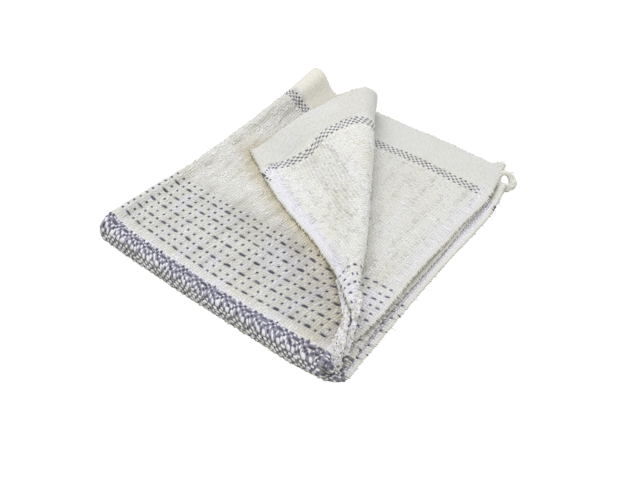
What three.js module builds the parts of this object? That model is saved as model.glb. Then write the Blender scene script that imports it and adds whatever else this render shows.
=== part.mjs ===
// Floor cloth: one woven cotton rag, cut length 704 mm, width 578 mm between its two selvedges,
// folded in half lengthwise (fold on the left) and then in half crosswise (fold at the front, over
// the coloured middle band). The far right corner of the top layer is turned back in a loose roll.
// Millimetres, +Z up. X runs along the front fold, Y away from it.
//
// The cloth is one body: a sheet of even thickness on either side of one folded surface.
// across: -WIDTH/2 .. WIDTH/2, the left fold lies near 0
// along:  -LENGTH/2 .. LENGTH/2, the front fold lies near 0
// layers, from the top: A (across > 0, along > 0), B (across < 0, along > 0),
//                       C (across < 0, along < 0), D (across > 0, along < 0)
import * as THREE from 'three';

const WIDTH = 578;
const LENGTH = 704;
const THICKNESS = 2.6;

const LEFT_CREST = -6;          // across-position of the crest of the left fold
const FRONT_CREST_OUTER = -2.5; // along-position of the front crest, layers A and D
const FRONT_CREST_INNER = 4.7;  // the same, layers B and C
const FRONT_AXIS_Y = -7.6;      // axis of the front fold
const FRONT_RADIUS = 6.35;      // of the doubled cloth's middle
const PAIR_HALF = 3.15;         // half the distance between the two layers of the doubled cloth
const BOTTOM_LEVEL = THICKNESS / 2;
const ORIGIN = [150.8, 158.4, 0]; // where the middle of the base lies in the folding frame

// A table with named columns, read as a smooth line through its rows.
function table(columns, ...rows) {
  const names = columns.split(' ');
  const xs = rows.map((row) => row[0]);
  const lines = {};
  names.slice(1).forEach((name, j) => {
    const ys = rows.map((row) => row[j + 1]);
    const step = xs.slice(1).map((x, i) => x - xs[i]);
    const slope = step.map((dx, i) => (ys[i + 1] - ys[i]) / dx);
    const tangent = ys.map((_, i) => {
      if (i === 0) return slope[0];
      if (i === ys.length - 1) return slope[i - 1];
      return (slope[i - 1] * step[i] + slope[i] * step[i - 1]) / (step[i - 1] + step[i]);
    });
    lines[name] = { ys, step, tangent };
  });
  return (x, name) => {
    const { ys, step, tangent } = lines[name];
    const q = Math.min(Math.max(x, xs[0]), xs[xs.length - 1]);
    let i = xs.length - 2;
    while (i > 0 && q < xs[i]) i -= 1;
    const t = (q - xs[i]) / step[i];
    const t2 = t * t;
    const t3 = t2 * t;
    return (2 * t3 - 3 * t2 + 1) * ys[i] + (t3 - 2 * t2 + t) * step[i] * tangent[i]
      + (3 * t2 - 2 * t3) * ys[i + 1] + (t3 - t2) * step[i] * tangent[i + 1];
  };
}
const clamp = (x, low, high) => Math.min(Math.max(x, low), high);
const smooth = (x) => { const q = clamp(x, 0, 1); return q * q * (3 - 2 * q); };

// The left fold against the length from the front crest: X of its outermost point, radius of its loop.
// It opens into a soft roll at the far end of the top pair.
const leftFold = table('length crest radius',
  [-345, 8.0, 3.15],
  [-150, 9.0, 3.15],
  [-40, 9.0, 3.15],
  [-14, 9.5, 3.15],
  [0, 5.0, 3.6],
  [14, -0.5, 5.2],
  [40, 0.0, 5.8],
  [70, 3.2, 5.8],
  [110, 7.0, 5.8],
  [200, 8.5, 6.2],
  [260, 8.8, 8.0],
  [300, 10.2, 11.0],
  [350, 11.0, 15.0]);

// Height of the middle of each layer, against the distance from the front axis.
const levels = table('distance c b a',
  [0, 7.65, 13.95, 20.3],
  [30, 7.2, 13.5, 19.8],
  [110, 6.2, 12.0, 18.2],
  [200, 5.4, 10.0, 16.0],
  [280, 5.0, 8.9, 14.0],
  [345, 4.9, 8.7, 13.6]);

// How far each selvedge wanders to the right, outer pair: D (-) to A (+).
const outerEdge = table('length shift',
  [-352, -3], [-335, -3], [-320, -0.7], [-303, 1.3], [-275, 3], [-250, 2], [-225, 0.4], [-130, -2.5],
  [-40, -3], [-25, -3.8], [-15, -5], [-8, -10], [0, -12.5], [8, -11.5], [15, -10.6], [33, -11.2],
  [48, -11.5], [62, -10], [80, -7], [110, -3], [160, 0], [352, 1]);
// The same, inner pair: C (-) to B (+).
const innerEdge = table('length shift',
  [-352, -3], [-300, 0], [-200, 2], [-100, 0], [-40, 2], [0, 2], [30, 4], [60, 6], [130, 0],
  [200, 1], [250, 3.4], [266, 5.2], [287, 6.3], [303, 4.5], [320, 2.4], [352, -4.5]);

// How much longer (+) or shorter (-) each layer lies than its cut length, from crinkle in the yarns.
const slack = table('length a b c d',
  [0, 0, 0, 0, 0],
  [100, 0, 0, 0, 0],
  [200, 0, -2, -4, -3],
  [300, 0, -3, -16, -6],
  [350, 0, -3, -26, -7]);

// The turned-back corner. Its fold line starts at the right edge and runs to the far hem; across it the
// cloth rolls over, then comes down from the roll between the two distances and lies on the layer below.
const foldX = table('length x',
  [-60, 337.9],
  [0, 310],
  [60, 280.3],
  [100, 258.6],
  [150, 230.2],
  [200, 201.1],
  [250, 171.3],
  [300, 140.4],
  [330, 122.7],
  [352, 111],
  [420, 70]);
const FLAP_HEIGHT = 4.1;        // middle of the flap above the middle of the layer under it
const roll = table('length radius descentStart descentEnd gather shear',
  [-20, 3.4, 0, 20, 0.35, -0.053],
  [40, 4.1, 0, 22, 0.35, -0.053],
  [100, 8.0, 0, 35, 0.45, -0.053],
  [200, 12.0, 0, 30, 0.93, -0.053],
  [300, 16.8, 23, 143, 1, -0.02],
  [350, 18.8, -7, 165, 1, 0.01]);
// The far hem of the outer pair and its turned-back corner is drawn out a little, by its across-position.
const hemEase = table('across ease',
  [60, 0], [95, 1], [125, 2.5], [160, 6], [200, 5], [240, 2], [289, -1]);
const HEM_EASE = { from: 200, over: 130 };

// Where the far hem of the outer pair is drawn in: X, half width and depth of the dip.
const DIP = { x: 58, spread: 20, depth: -9, from: 120, over: 180 };

// Corners that curl up off what they lie on: layer, across and along where the curl starts, rise.
const curls = [
  { layer: 'D', across: 272, along: 305, rise: 6.5 },
  { layer: 'C', across: -262, along: 318, rise: 2.0 },
  { layer: 'B', across: -255, along: 318, rise: 3.0 },
];
// The pointed corner of layer B is drawn out: where that starts, and how far.
const POINT = { across: -272, along: 322, out: 4.0 };
// Just before that point the hem is drawn in.
const NICK = { across: -274, spread: 8, depth: -3.2 };
// How far the front fold lies back from its straight line, by X; fades out behind it.
const frontLine = table('x back',
  [-10, 3.6], [40, 1.5], [80, 0.4], [225, 0], [262, 0.8], [285, 4], [300, 7]);
const FRONT_LINE_OVER = 110;
// The bottom selvedge stands up a little all along: where it starts, and its rise.
const EDGE_CURL = { across: 274, rise: 2.2 };

// Long soft waves in what lies above the bottom layer: direction, length of the wave, phase, height.
const waves = [
  { turn: 20, length: 96, phase: 0.4, height: 0.45 },
  { turn: 118, length: 71, phase: 2.1, height: 0.35 },
  { turn: 64, length: 133, phase: 4.0, height: 0.4 },
];

// Across the doubled cloth: x, and w outward from the middle plane of the pair.
function section(across, length) {
  const crest = leftFold(length, 'crest');
  const rho = Math.max(leftFold(length, 'radius'), PAIR_HALF);
  const s = across - LEFT_CREST;
  const a = Math.abs(s);
  const middle = rho - PAIR_HALF;
  let x;
  let w;
  if (s >= 0) {
    // a loop of radius rho that comes down again to the pair's height through a wider reverse bend
    const wide = 3 * rho;
    const beta = Math.acos(clamp(1 - (2 * middle) / (4 * rho), -1, 1));
    const turned = rho * (Math.PI / 2 + beta);
    const phi = Math.min(a, turned) / rho;
    const psi = clamp((a - turned) / wide, 0, beta);
    x = crest + rho * (1 - Math.cos(phi)) + wide * (Math.sin(beta) - Math.sin(beta - psi))
      + Math.max(a - turned - wide * beta, 0);
    w = middle + rho * Math.sin(phi) - wide * (Math.cos(beta - psi) - Math.cos(beta));
  } else {
    const quarter = (rho * Math.PI) / 2;
    const phi = Math.min(a, quarter) / rho;
    x = crest + rho * (1 - Math.cos(phi)) + Math.max(a - quarter, 0);
    w = middle - rho * Math.sin(phi);
  }
  const edge = s >= 0 ? outerEdge(length, 'shift') : innerEdge(length, 'shift');
  return [x + smooth((a - 190) / 100) * edge, w];
}

// Turns the far right corner back over its roll. x and y are flat positions; the rise is returned too.
function turnBack(x, y) {
  let t = y;
  let cx;
  let slope;
  let n;
  const foldLine = () => {
    cx = foldX(t, 'x');
    slope = foldX(t + 0.5, 'x') - foldX(t - 0.5, 'x');
    n = Math.sqrt(1 + slope * slope);
  };
  for (let i = 0; i < 6; i += 1) {
    foldLine();
    t = clamp(t + ((x - cx) * slope + (y - t)) / (n * n), -40, 420);
  }
  foldLine();
  const over = (x - cx) / n - ((y - t) * slope) / n;
  const r = roll(t, 'radius');
  const reach = over + r;
  if (reach <= 0) return [x, y, 0];
  const turn = Math.PI * smooth((t - 2) / 40);
  const along = ((x - cx) * slope) / n + (y - t) / n;
  const theta = clamp(reach / r, 0, turn);
  const done = smooth((turn / Math.PI) * 1.5);
  let rest = Math.max(reach - r * turn, 0);
  const e = along + roll(t, 'shear') * rest * done;
  rest *= 1 + (roll(t, 'gather') - 1) * done;
  const sideways = -r + r * Math.sin(theta) + rest * Math.cos(turn);
  const start = roll(t, 'descentStart');
  const down = smooth((rest - start) / (roll(t, 'descentEnd') - start));
  const rise = r * (1 - Math.cos(theta)) + rest * Math.sin(turn)
    - down * Math.max(2 * r - FLAP_HEIGHT, 0) * smooth((turn / Math.PI - 0.8) / 0.2);
  return [cx + (e * slope + sideways) / n, t + (e - sideways * slope) / n, rise];
}

// The middle surface of the folded cloth.
function surface(across, along) {
  const s = across - LEFT_CREST;
  const inner = smooth((40 - s) / 110);
  const length = along - (FRONT_CREST_OUTER + (FRONT_CREST_INNER - FRONT_CREST_OUTER) * inner);
  let [x, w] = section(across, length);
  const upper = length > 0;
  const from = Math.abs(length);
  const longer = slack(from, upper ? 'a' : 'd') * (1 - inner) + slack(from, upper ? 'b' : 'c') * inner;
  const dip = s > 0
    ? DIP.depth * Math.exp(-(((x - DIP.x) / DIP.spread) ** 2) / 2)
      * smooth((length - DIP.from) / DIP.over) * smooth(s / 20)
    : 0;
  const ease = s > 0 ? hemEase(across, 'ease') * smooth((length - HEM_EASE.from) / HEM_EASE.over) : 0;
  let y = length + (upper ? longer : -longer) + dip + ease;
  if (s < 0 && upper) {
    y += (POINT.out * smooth((POINT.across - across) / (POINT.across + WIDTH / 2))
      + NICK.depth * Math.exp(-(((across - NICK.across) / NICK.spread) ** 2)))
      * smooth((along - POINT.along) / (LENGTH / 2 - POINT.along));
  }
  let rise = 0;
  if (s > 60 && length > -60) [x, y, rise] = turnBack(x, y);
  // round the front fold
  const half = (Math.PI / 2) * (FRONT_RADIUS + PAIR_HALF * (1 - 2 * inner));
  const angle = clamp(y / half, -1, 1) * (Math.PI / 2);
  const far = Math.max(Math.abs(y) - half, 0);
  const r = FRONT_RADIUS + w + rise;
  let z;
  if (Math.abs(y) < half) {
    z = BOTTOM_LEVEL + FRONT_RADIUS + PAIR_HALF + r * Math.sin(angle);
  } else if (y > 0) {
    const a = levels(far, 'a');
    const b = levels(far, 'b');
    const q = (w + PAIR_HALF) / (2 * PAIR_HALF);
    z = rise + (q < 1 ? b + (a - b) * q : a + w - PAIR_HALF);
  } else {
    z = BOTTOM_LEVEL + ((levels(far, 'c') - BOTTOM_LEVEL) * (PAIR_HALF - w)) / (2 * PAIR_HALF);
  }
  // curled corners and edge, then the long waves
  for (const curl of curls) {
    const own = { D: s > 0 && along < 0, C: s < 0 && along < 0, B: s < 0 && along > 0 }[curl.layer];
    if (own) {
      z += curl.rise * smooth((Math.abs(across) - Math.abs(curl.across)) / (WIDTH / 2 - Math.abs(curl.across)))
        * smooth((Math.abs(along) - curl.along) / (LENGTH / 2 - curl.along));
    }
  }
  if (s > 0 && length < -10) {
    z += EDGE_CURL.rise * smooth((across - EDGE_CURL.across) / (WIDTH / 2 - EDGE_CURL.across))
      * smooth((-10 - length) / 30);
  }
  const yy = FRONT_AXIS_Y - r * Math.cos(angle) + far
    + frontLine(x, 'back') * (1 - smooth(far / FRONT_LINE_OVER));
  const above = smooth((z - BOTTOM_LEVEL) / 9) * smooth((far - 4) / 40);
  let wave = 0;
  for (const { turn, length: period, phase, height } of waves) {
    const d = x * Math.cos(THREE.MathUtils.degToRad(turn)) + yy * Math.sin(THREE.MathUtils.degToRad(turn));
    wave += height * Math.sin((2 * Math.PI * d) / period + phase);
  }
  z += wave * above;
  return new THREE.Vector3(x - ORIGIN[0], yy - ORIGIN[1], z - ORIGIN[2]);
}

// Lines of the facets. Along the cloth they crowd round the front fold.
function spread(...runs) {
  // each run: from the last position to the next one in so many even steps
  const out = [runs[0]];
  for (const { to, steps } of runs.slice(1)) {
    const start = out[out.length - 1];
    for (let i = 1; i <= steps; i += 1) out.push(start + ((to - start) * i) / steps);
  }
  return out;
}
const alongLines = spread(-LENGTH / 2,
  { to: -336, steps: 2 },
  { to: -304, steps: 2 },
  { to: -28, steps: 7 },
  { to: -20, steps: 1 },
  { to: 22, steps: 14 },
  { to: 60, steps: 4 },
  { to: 130, steps: 6 },
  { to: 336, steps: 14 },
  { to: LENGTH / 2, steps: 1 });

// Across the cloth they crowd round the left fold, and fan out with the roll of the turned-back corner.
const fan = table('along start end',
  [0, 258, 278],
  [40, 262, 280],
  [60, 258, 280],
  [80, 250, 276],
  [100, 236, 268],
  [130, 216, 253],
  [160, 198, 238],
  [200, 174, 218],
  [250, 144, 198],
  [300, 114, 178],
  [352, 83, 153]);
function acrossLines(along) {
  const start = fan(along, 'start');
  const end = fan(along, 'end');
  return spread(-WIDTH / 2,
    { to: -262, steps: 2 },
    { to: -40, steps: 4 },
    { to: -16, steps: 2 },
    { to: 4, steps: 8 },
    { to: 14, steps: 2 },
    { to: 30, steps: 2 },
    { to: 48, steps: 1 },
    { to: start, steps: 5 },
    { to: end, steps: 9 },
    { to: WIDTH / 2, steps: 7 });
}

// The two faces of the sheet, offset from the folded surface, joined by a strip round the four edges.
function sheet() {
  const rows = alongLines.length;
  const columns = acrossLines(0).length;
  const STEP = 0.05;
  const positions = [];
  for (const side of [1, -1]) {
    for (const along of alongLines) {
      for (const across of acrossLines(along)) {
        const p = surface(across, along);
        const du = surface(Math.min(across + STEP, WIDTH / 2), along)
          .sub(surface(Math.max(across - STEP, -WIDTH / 2), along));
        const dv = surface(across, Math.min(along + STEP, LENGTH / 2))
          .sub(surface(across, Math.max(along - STEP, -LENGTH / 2)));
        p.addScaledVector(du.cross(dv).normalize(), (side * THICKNESS) / 2);
        if (p.z < 1e-4) p.z = 0; // the base is one flat
        positions.push(p.x, p.y, p.z);
      }
    }
  }
  const index = [];
  const at = (face, i, j) => face * rows * columns + i * columns + j;
  for (let i = 0; i + 1 < rows; i += 1) {
    for (let j = 0; j + 1 < columns; j += 1) {
      for (const face of [0, 1]) {
        const a = at(face, i, j);
        const b = at(face, i, j + 1);
        const c = at(face, i + 1, j + 1);
        const d = at(face, i + 1, j);
        const quad = (i + j) % 2 ? [a, b, c, a, c, d] : [a, b, d, b, c, d];
        index.push(...(face === 0 ? quad : quad.reverse()));
      }
    }
  }
  const rim = [];
  for (let j = 0; j + 1 < columns; j += 1) rim.push([0, j]);
  for (let i = 0; i + 1 < rows; i += 1) rim.push([i, columns - 1]);
  for (let j = columns - 1; j > 0; j -= 1) rim.push([rows - 1, j]);
  for (let i = rows - 1; i > 0; i -= 1) rim.push([i, 0]);
  rim.forEach(([i, j], k) => {
    const [i2, j2] = rim[(k + 1) % rim.length];
    index.push(at(0, i, j), at(1, i, j), at(0, i2, j2), at(0, i2, j2), at(1, i, j), at(1, i2, j2));
  });
  const geometry = new THREE.BufferGeometry();
  geometry.setAttribute('position', new THREE.Float32BufferAttribute(positions, 3));
  geometry.setIndex(index);
  geometry.computeVertexNormals();
  return geometry;
}

const cloth = new THREE.Mesh(sheet(), new THREE.MeshStandardMaterial({
  color: 0xdcdccb, roughness: 0.95, metalness: 0,
}));
cloth.name = 'cloth';

const model = new THREE.Group();
model.name = 'folded floor cloth';
model.add(cloth);
export default model;
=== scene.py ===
# Folded floor cloth: the woven sheet on the folds of its solid, the coloured yarns where they float
# over the ground weave, the turns of the weft along the selvedges, the hems and a few loose fibres.
# Lengths below are in millimetres until build(), which writes metres.
import math
import time

import bpy
import numpy as np
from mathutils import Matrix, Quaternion, Vector
from mathutils.bvhtree import BVHTree


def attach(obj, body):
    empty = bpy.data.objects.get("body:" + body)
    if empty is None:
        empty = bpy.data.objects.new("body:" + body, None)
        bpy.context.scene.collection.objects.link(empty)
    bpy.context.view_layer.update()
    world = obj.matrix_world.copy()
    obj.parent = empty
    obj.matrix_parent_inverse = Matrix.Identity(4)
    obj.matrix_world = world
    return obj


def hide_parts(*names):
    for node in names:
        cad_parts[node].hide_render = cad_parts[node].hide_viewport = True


begun = time.perf_counter()
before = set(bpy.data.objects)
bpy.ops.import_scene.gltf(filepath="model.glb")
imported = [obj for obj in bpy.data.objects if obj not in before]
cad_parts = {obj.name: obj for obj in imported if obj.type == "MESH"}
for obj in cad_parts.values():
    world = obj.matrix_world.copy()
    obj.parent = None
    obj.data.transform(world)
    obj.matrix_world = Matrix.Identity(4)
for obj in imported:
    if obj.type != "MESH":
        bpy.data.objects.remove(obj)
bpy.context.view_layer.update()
pi = math.pi

# ---------------------------------------------------------------- the folded surface, as in the solid
WIDTH, LENGTH, THICK = 578.0, 704.0, 2.6
LEFT_CREST = -6.0
FRONT_CREST_OUTER, FRONT_CREST_INNER = -2.5, 4.7
FRONT_AXIS_Y, FRONT_RADIUS, PAIR_HALF = -7.6, 6.35, 3.15
BOTTOM_LEVEL = THICK / 2
ORIGIN = (150.8, 158.4, 0.0)


def table(columns, *rows):
    """A table with named columns, read as a smooth line through its rows."""
    names = columns.split()
    a = np.array(rows, float)
    x = a[:, 0]
    dx = np.diff(x)

    def read(q, name):
        y = a[:, names.index(name)]
        d = np.diff(y) / dx
        m = np.empty_like(y)
        m[0], m[-1] = d[0], d[-1]
        m[1:-1] = (d[:-1] * dx[1:] + d[1:] * dx[:-1]) / (dx[1:] + dx[:-1])
        q = np.clip(np.asarray(q, float), x[0], x[-1])
        i = np.clip(np.searchsorted(x, q, side="right") - 1, 0, len(x) - 2)
        h = dx[i]
        t = (q - x[i]) / h
        t2, t3 = t * t, t * t * t
        return (
            (2 * t3 - 3 * t2 + 1) * y[i]
            + (t3 - 2 * t2 + t) * h * m[i]
            + (3 * t2 - 2 * t3) * y[i + 1]
            + (t3 - t2) * h * m[i + 1]
        )

    return read


def smooth(x):
    x = np.clip(x, 0.0, 1.0)
    return x * x * (3 - 2 * x)


left_fold = table(
    "length crest radius",
    (-345, 8.0, 3.15), (-150, 9.0, 3.15), (-40, 9.0, 3.15), (-14, 9.5, 3.15), (0, 5.0, 3.6),
    (14, -0.5, 5.2), (40, 0.0, 5.8), (70, 3.2, 5.8), (110, 7.0, 5.8), (200, 8.5, 6.2),
    (260, 8.8, 8.0), (300, 10.2, 11.0), (350, 11.0, 15.0),
)
levels = table(
    "distance c b a",
    (0, 7.65, 13.95, 20.3), (30, 7.2, 13.5, 19.8), (110, 6.2, 12.0, 18.2),
    (200, 5.4, 10.0, 16.0), (280, 5.0, 8.9, 14.0), (345, 4.9, 8.7, 13.6),
)
outer_edge = table(
    "length shift",
    (-352, -3), (-335, -3), (-320, -0.7), (-303, 1.3), (-275, 3), (-250, 2), (-225, 0.4), (-130, -2.5),
    (-40, -3), (-25, -3.8), (-15, -5), (-8, -10), (0, -12.5), (8, -11.5), (15, -10.6), (33, -11.2),
    (48, -11.5), (62, -10), (80, -7), (110, -3), (160, 0), (352, 1),
)
inner_edge = table(
    "length shift",
    (-352, -3), (-300, 0), (-200, 2), (-100, 0), (-40, 2), (0, 2), (30, 4), (60, 6), (130, 0),
    (200, 1), (250, 3.4), (266, 5.2), (287, 6.3), (303, 4.5), (320, 2.4), (352, -4.5),
)
slack = table(
    "length a b c d",
    (0, 0, 0, 0, 0), (100, 0, 0, 0, 0), (200, 0, -2, -4, -3), (300, 0, -3, -16, -6), (350, 0, -3, -26, -7),
)
fold_x = table(
    "length x",
    (-60, 337.9), (0, 310), (60, 280.3), (100, 258.6), (150, 230.2), (200, 201.1), (250, 171.3),
    (300, 140.4), (330, 122.7), (352, 111), (420, 70),
)
FLAP_HEIGHT = 4.1
roll = table(
    "length radius start end gather shear",
    (-20, 3.4, 0, 20, 0.35, -0.053), (40, 4.1, 0, 22, 0.35, -0.053), (100, 8.0, 0, 35, 0.45, -0.053),
    (200, 12.0, 0, 30, 0.93, -0.053), (300, 16.8, 23, 143, 1, -0.02), (350, 18.8, -7, 165, 1, 0.01),
)
hem_ease = table(
    "across ease", (60, 0), (95, 1), (125, 2.5), (160, 6), (200, 5), (240, 2), (289, -1),
)
HEM_EASE = dict(start=200.0, over=130.0)
DIP = dict(x=58.0, spread=20.0, depth=-9.0, start=120.0, over=180.0)
CURLS = (
    dict(layer="D", across=272, along=305, rise=6.5),
    dict(layer="C", across=-262, along=318, rise=2.0),
    dict(layer="B", across=-255, along=318, rise=3.0),
)
POINT = dict(across=-272.0, along=322.0, out=4.0)
NICK = dict(across=-274.0, spread=8.0, depth=-3.2)
front_line = table("x back", (-10, 3.6), (40, 1.5), (80, 0.4), (225, 0), (262, 0.8), (285, 4), (300, 7))
FRONT_LINE_OVER = 110.0
EDGE_CURL = dict(across=274.0, rise=2.2)
WAVES = (
    dict(turn=20, length=96, phase=0.4, height=0.45),
    dict(turn=118, length=71, phase=2.1, height=0.35),
    dict(turn=64, length=133, phase=4.0, height=0.4),
)


def section(across, length):
    crest = left_fold(length, "crest")
    rho = np.maximum(left_fold(length, "radius"), PAIR_HALF)
    s = across - LEFT_CREST
    a = np.abs(s)
    middle = rho - PAIR_HALF
    wide = 3 * rho
    beta = np.arccos(np.clip(1 - 2 * middle / (4 * rho), -1, 1))
    turned = rho * (pi / 2 + beta)
    phi = np.minimum(a, turned) / rho
    psi = np.clip((a - turned) / wide, 0, beta)
    xo = (
        crest + rho * (1 - np.cos(phi)) + wide * (np.sin(beta) - np.sin(beta - psi))
        + np.maximum(a - turned - wide * beta, 0)
    )
    wo = middle + rho * np.sin(phi) - wide * (np.cos(beta - psi) - np.cos(beta))
    quarter = rho * pi / 2
    phi = np.minimum(a, quarter) / rho
    xi = crest + rho * (1 - np.cos(phi)) + np.maximum(a - quarter, 0)
    wi = middle - rho * np.sin(phi)
    edge = np.where(s >= 0, outer_edge(length, "shift"), inner_edge(length, "shift"))
    return np.where(s >= 0, xo, xi) + smooth((a - 190) / 100) * edge, np.where(s >= 0, wo, wi)


def turn_back(x, y):
    def fold_line(t):
        cx = fold_x(t, "x")
        slope = fold_x(t + 0.5, "x") - fold_x(t - 0.5, "x")
        return cx, slope, np.sqrt(1 + slope * slope)

    t = y.copy()
    for _ in range(6):
        cx, slope, n = fold_line(t)
        t = np.clip(t + ((x - cx) * slope + (y - t)) / (n * n), -40, 420)
    cx, slope, n = fold_line(t)
    over = (x - cx) / n - (y - t) * slope / n
    r = roll(t, "radius")
    reach = over + r
    turn = pi * smooth((t - 2) / 40)
    along = (x - cx) * slope / n + (y - t) / n
    theta = np.clip(reach / r, 0, turn)
    done = smooth(turn / pi * 1.5)
    rest = np.maximum(reach - r * turn, 0)
    e = along + roll(t, "shear") * rest * done
    rest = rest * (1 + (roll(t, "gather") - 1) * done)
    sideways = -r + r * np.sin(theta) + rest * np.cos(turn)
    start = roll(t, "start")
    down = smooth((rest - start) / (roll(t, "end") - start))
    rise = (
        r * (1 - np.cos(theta)) + rest * np.sin(turn)
        - down * np.maximum(2 * r - FLAP_HEIGHT, 0) * smooth((turn / pi - 0.8) / 0.2)
    )
    on = reach > 0
    return (
        np.where(on, cx + (e * slope + sideways) / n, x),
        np.where(on, t + (e - sideways * slope) / n, y),
        np.where(on, rise, 0.0),
    )


def folded(across, along):
    """The middle surface of the folded cloth, the same as the solid's."""
    s = across - LEFT_CREST
    inner = smooth((40 - s) / 110)
    length = along - (FRONT_CREST_OUTER + (FRONT_CREST_INNER - FRONT_CREST_OUTER) * inner)
    x, w = section(across, length)
    upper = length > 0
    dist = np.abs(length)
    longer = (
        np.where(upper, slack(dist, "a"), slack(dist, "d")) * (1 - inner)
        + np.where(upper, slack(dist, "b"), slack(dist, "c")) * inner
    )
    dip = np.where(
        s > 0,
        DIP["depth"] * np.exp(-(((x - DIP["x"]) / DIP["spread"]) ** 2) / 2)
        * smooth((length - DIP["start"]) / DIP["over"]) * smooth(s / 20),
        0.0,
    )
    ease = np.where(s > 0, hem_ease(across, "ease") * smooth((length - HEM_EASE["start"]) / HEM_EASE["over"]), 0.0)
    y = length + np.where(upper, longer, -longer) + dip + ease
    drawn = POINT["out"] * smooth((POINT["across"] - across) / (POINT["across"] + WIDTH / 2))
    drawn = drawn + NICK["depth"] * np.exp(-(((across - NICK["across"]) / NICK["spread"]) ** 2))
    y = y + ((s < 0) & upper) * drawn * smooth((along - POINT["along"]) / (LENGTH / 2 - POINT["along"]))
    tx, ty, tr = turn_back(x, y)
    flap = (s > 60) & (length > -60)
    x, y, rise = np.where(flap, tx, x), np.where(flap, ty, y), np.where(flap, tr, 0.0)
    half = pi / 2 * (FRONT_RADIUS + PAIR_HALF * (1 - 2 * inner))
    angle = np.clip(y / half, -1, 1) * pi / 2
    far = np.maximum(np.abs(y) - half, 0)
    r = FRONT_RADIUS + w + rise
    la, lb, lc = levels(far, "a"), levels(far, "b"), levels(far, "c")
    q = (w + PAIR_HALF) / (2 * PAIR_HALF)
    z_up = rise + np.where(q < 1, lb + (la - lb) * q, la + w - PAIR_HALF)
    z_low = BOTTOM_LEVEL + (lc - BOTTOM_LEVEL) * (PAIR_HALF - w) / (2 * PAIR_HALF)
    z_bend = BOTTOM_LEVEL + FRONT_RADIUS + PAIR_HALF + r * np.sin(angle)
    z = np.where(np.abs(y) < half, z_bend, np.where(y > 0, z_up, z_low))
    for c in CURLS:
        own = {
            "D": (s > 0) & (along < 0), "C": (s < 0) & (along < 0), "B": (s < 0) & (along > 0),
        }[c["layer"]]
        z = z + own * c["rise"] * smooth(
            (np.abs(across) - abs(c["across"])) / (WIDTH / 2 - abs(c["across"]))
        ) * smooth((np.abs(along) - c["along"]) / (LENGTH / 2 - c["along"]))
    z = z + ((s > 0) & (length < -10)) * EDGE_CURL["rise"] * smooth(
        (across - EDGE_CURL["across"]) / (WIDTH / 2 - EDGE_CURL["across"])
    ) * smooth((-10 - length) / 30)
    yy = FRONT_AXIS_Y - r * np.cos(angle) + far + front_line(x, "back") * (1 - smooth(far / FRONT_LINE_OVER))
    above = smooth((z - BOTTOM_LEVEL) / 9) * smooth((far - 4) / 40)
    for v in WAVES:
        d = x * math.cos(math.radians(v["turn"])) + yy * math.sin(math.radians(v["turn"]))
        z = z + v["height"] * np.sin(2 * pi * d / v["length"] + v["phase"]) * above
    return np.stack([x - ORIGIN[0], yy - ORIGIN[1], z - ORIGIN[2]], -1)


# ---------------------------------------------------------------- smooth noise, seeded
def noise(x, y, cell_x, cell_y, seed):
    """Smooth noise from -1 to 1 with cells of that size."""
    rng = np.random.default_rng(seed)
    grid = rng.uniform(-1, 1, (256, 256))
    fx, fy = x / cell_x + 97.3, y / cell_y + 61.7
    ix, iy = np.floor(fx).astype(int), np.floor(fy).astype(int)
    tx, ty = fx - ix, fy - iy
    tx, ty = tx * tx * tx * (tx * (6 * tx - 15) + 10), ty * ty * ty * (ty * (6 * ty - 15) + 10)
    g = lambda a, b: grid[a % 256, b % 256]
    return (
        (g(ix, iy) * (1 - tx) + g(ix + 1, iy) * tx) * (1 - ty)
        + (g(ix, iy + 1) * (1 - tx) + g(ix + 1, iy + 1) * tx) * ty
    )


# ---------------------------------------------------------------- the weave
# Threads are counted from the middle: ends (warp) across by u, picks (weft) along by v. The pattern
# repeats over six ends and six picks. The ends don't lie quite evenly across the cloth.
end_place = table(
    "end u",
    (-96, -286.6), (-48, -137.4), (0, 11.3), (6, 28.7), (12, 47.3), (18, 65.2), (24, 83.8), (30, 102.5),
    (36, 120.4), (42, 138.2), (48, 156.5), (54, 174.6), (60, 193.2), (66, 212.5), (72, 232.5), (78, 252.8),
    (84, 272.0), (90, 290.0),
)
all_ends = np.arange(-96.0, 90.01, 0.25)
all_places = end_place(all_ends, "u")
PICK = 17.06 / 6       # pitch of the picks
BAND_PICK = 32.8 / 12  # they lie a little closer in the middle band
BAND_HALF = 7          # the middle band is this many blue picks on either side of its middle one
PLAIN_HALF = 2         # below this pick it is plain weave with the blue sunk; above it the blue is proud
DASH_ROWS = 5          # rows of dashes on either side of the band
LINE_AT, LINE_PICKS = 302.5, 4  # the narrow line near each hem
HEADER_FROM = 309.0    # from here to the hem the cloth is a finer, smoother plain weave
SELVEDGE = 8.5         # width of the close, smooth selvedge


def end_number(u):
    return np.interp(u, all_places, all_ends)


side_rise = table(
    "v left right",
    (0, 0, 0), (35, 1.6, 1.5), (50, 2.6, 2.2), (67, 3.9, 5), (84, 5.1, 9.5), (101, 6.0, 10.9), (110, 6.9, 12.4),
    (150, 6, 9), (220, 0, 0),
)
line_wander = table(
    "u shift",
    (-289, -3), (-239, -3), (-200, -0.6), (-145, -1.5), (-40, 0), (0, -3.6), (17, -3.4), (40, -0.5), (100, 0),
    (140, -5), (160, -2.6), (180, 3.6), (200, 2), (217, 0.2), (232, -6.2), (247, -1.5), (260, 2), (273, 5.5), (289, 6),
)


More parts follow.
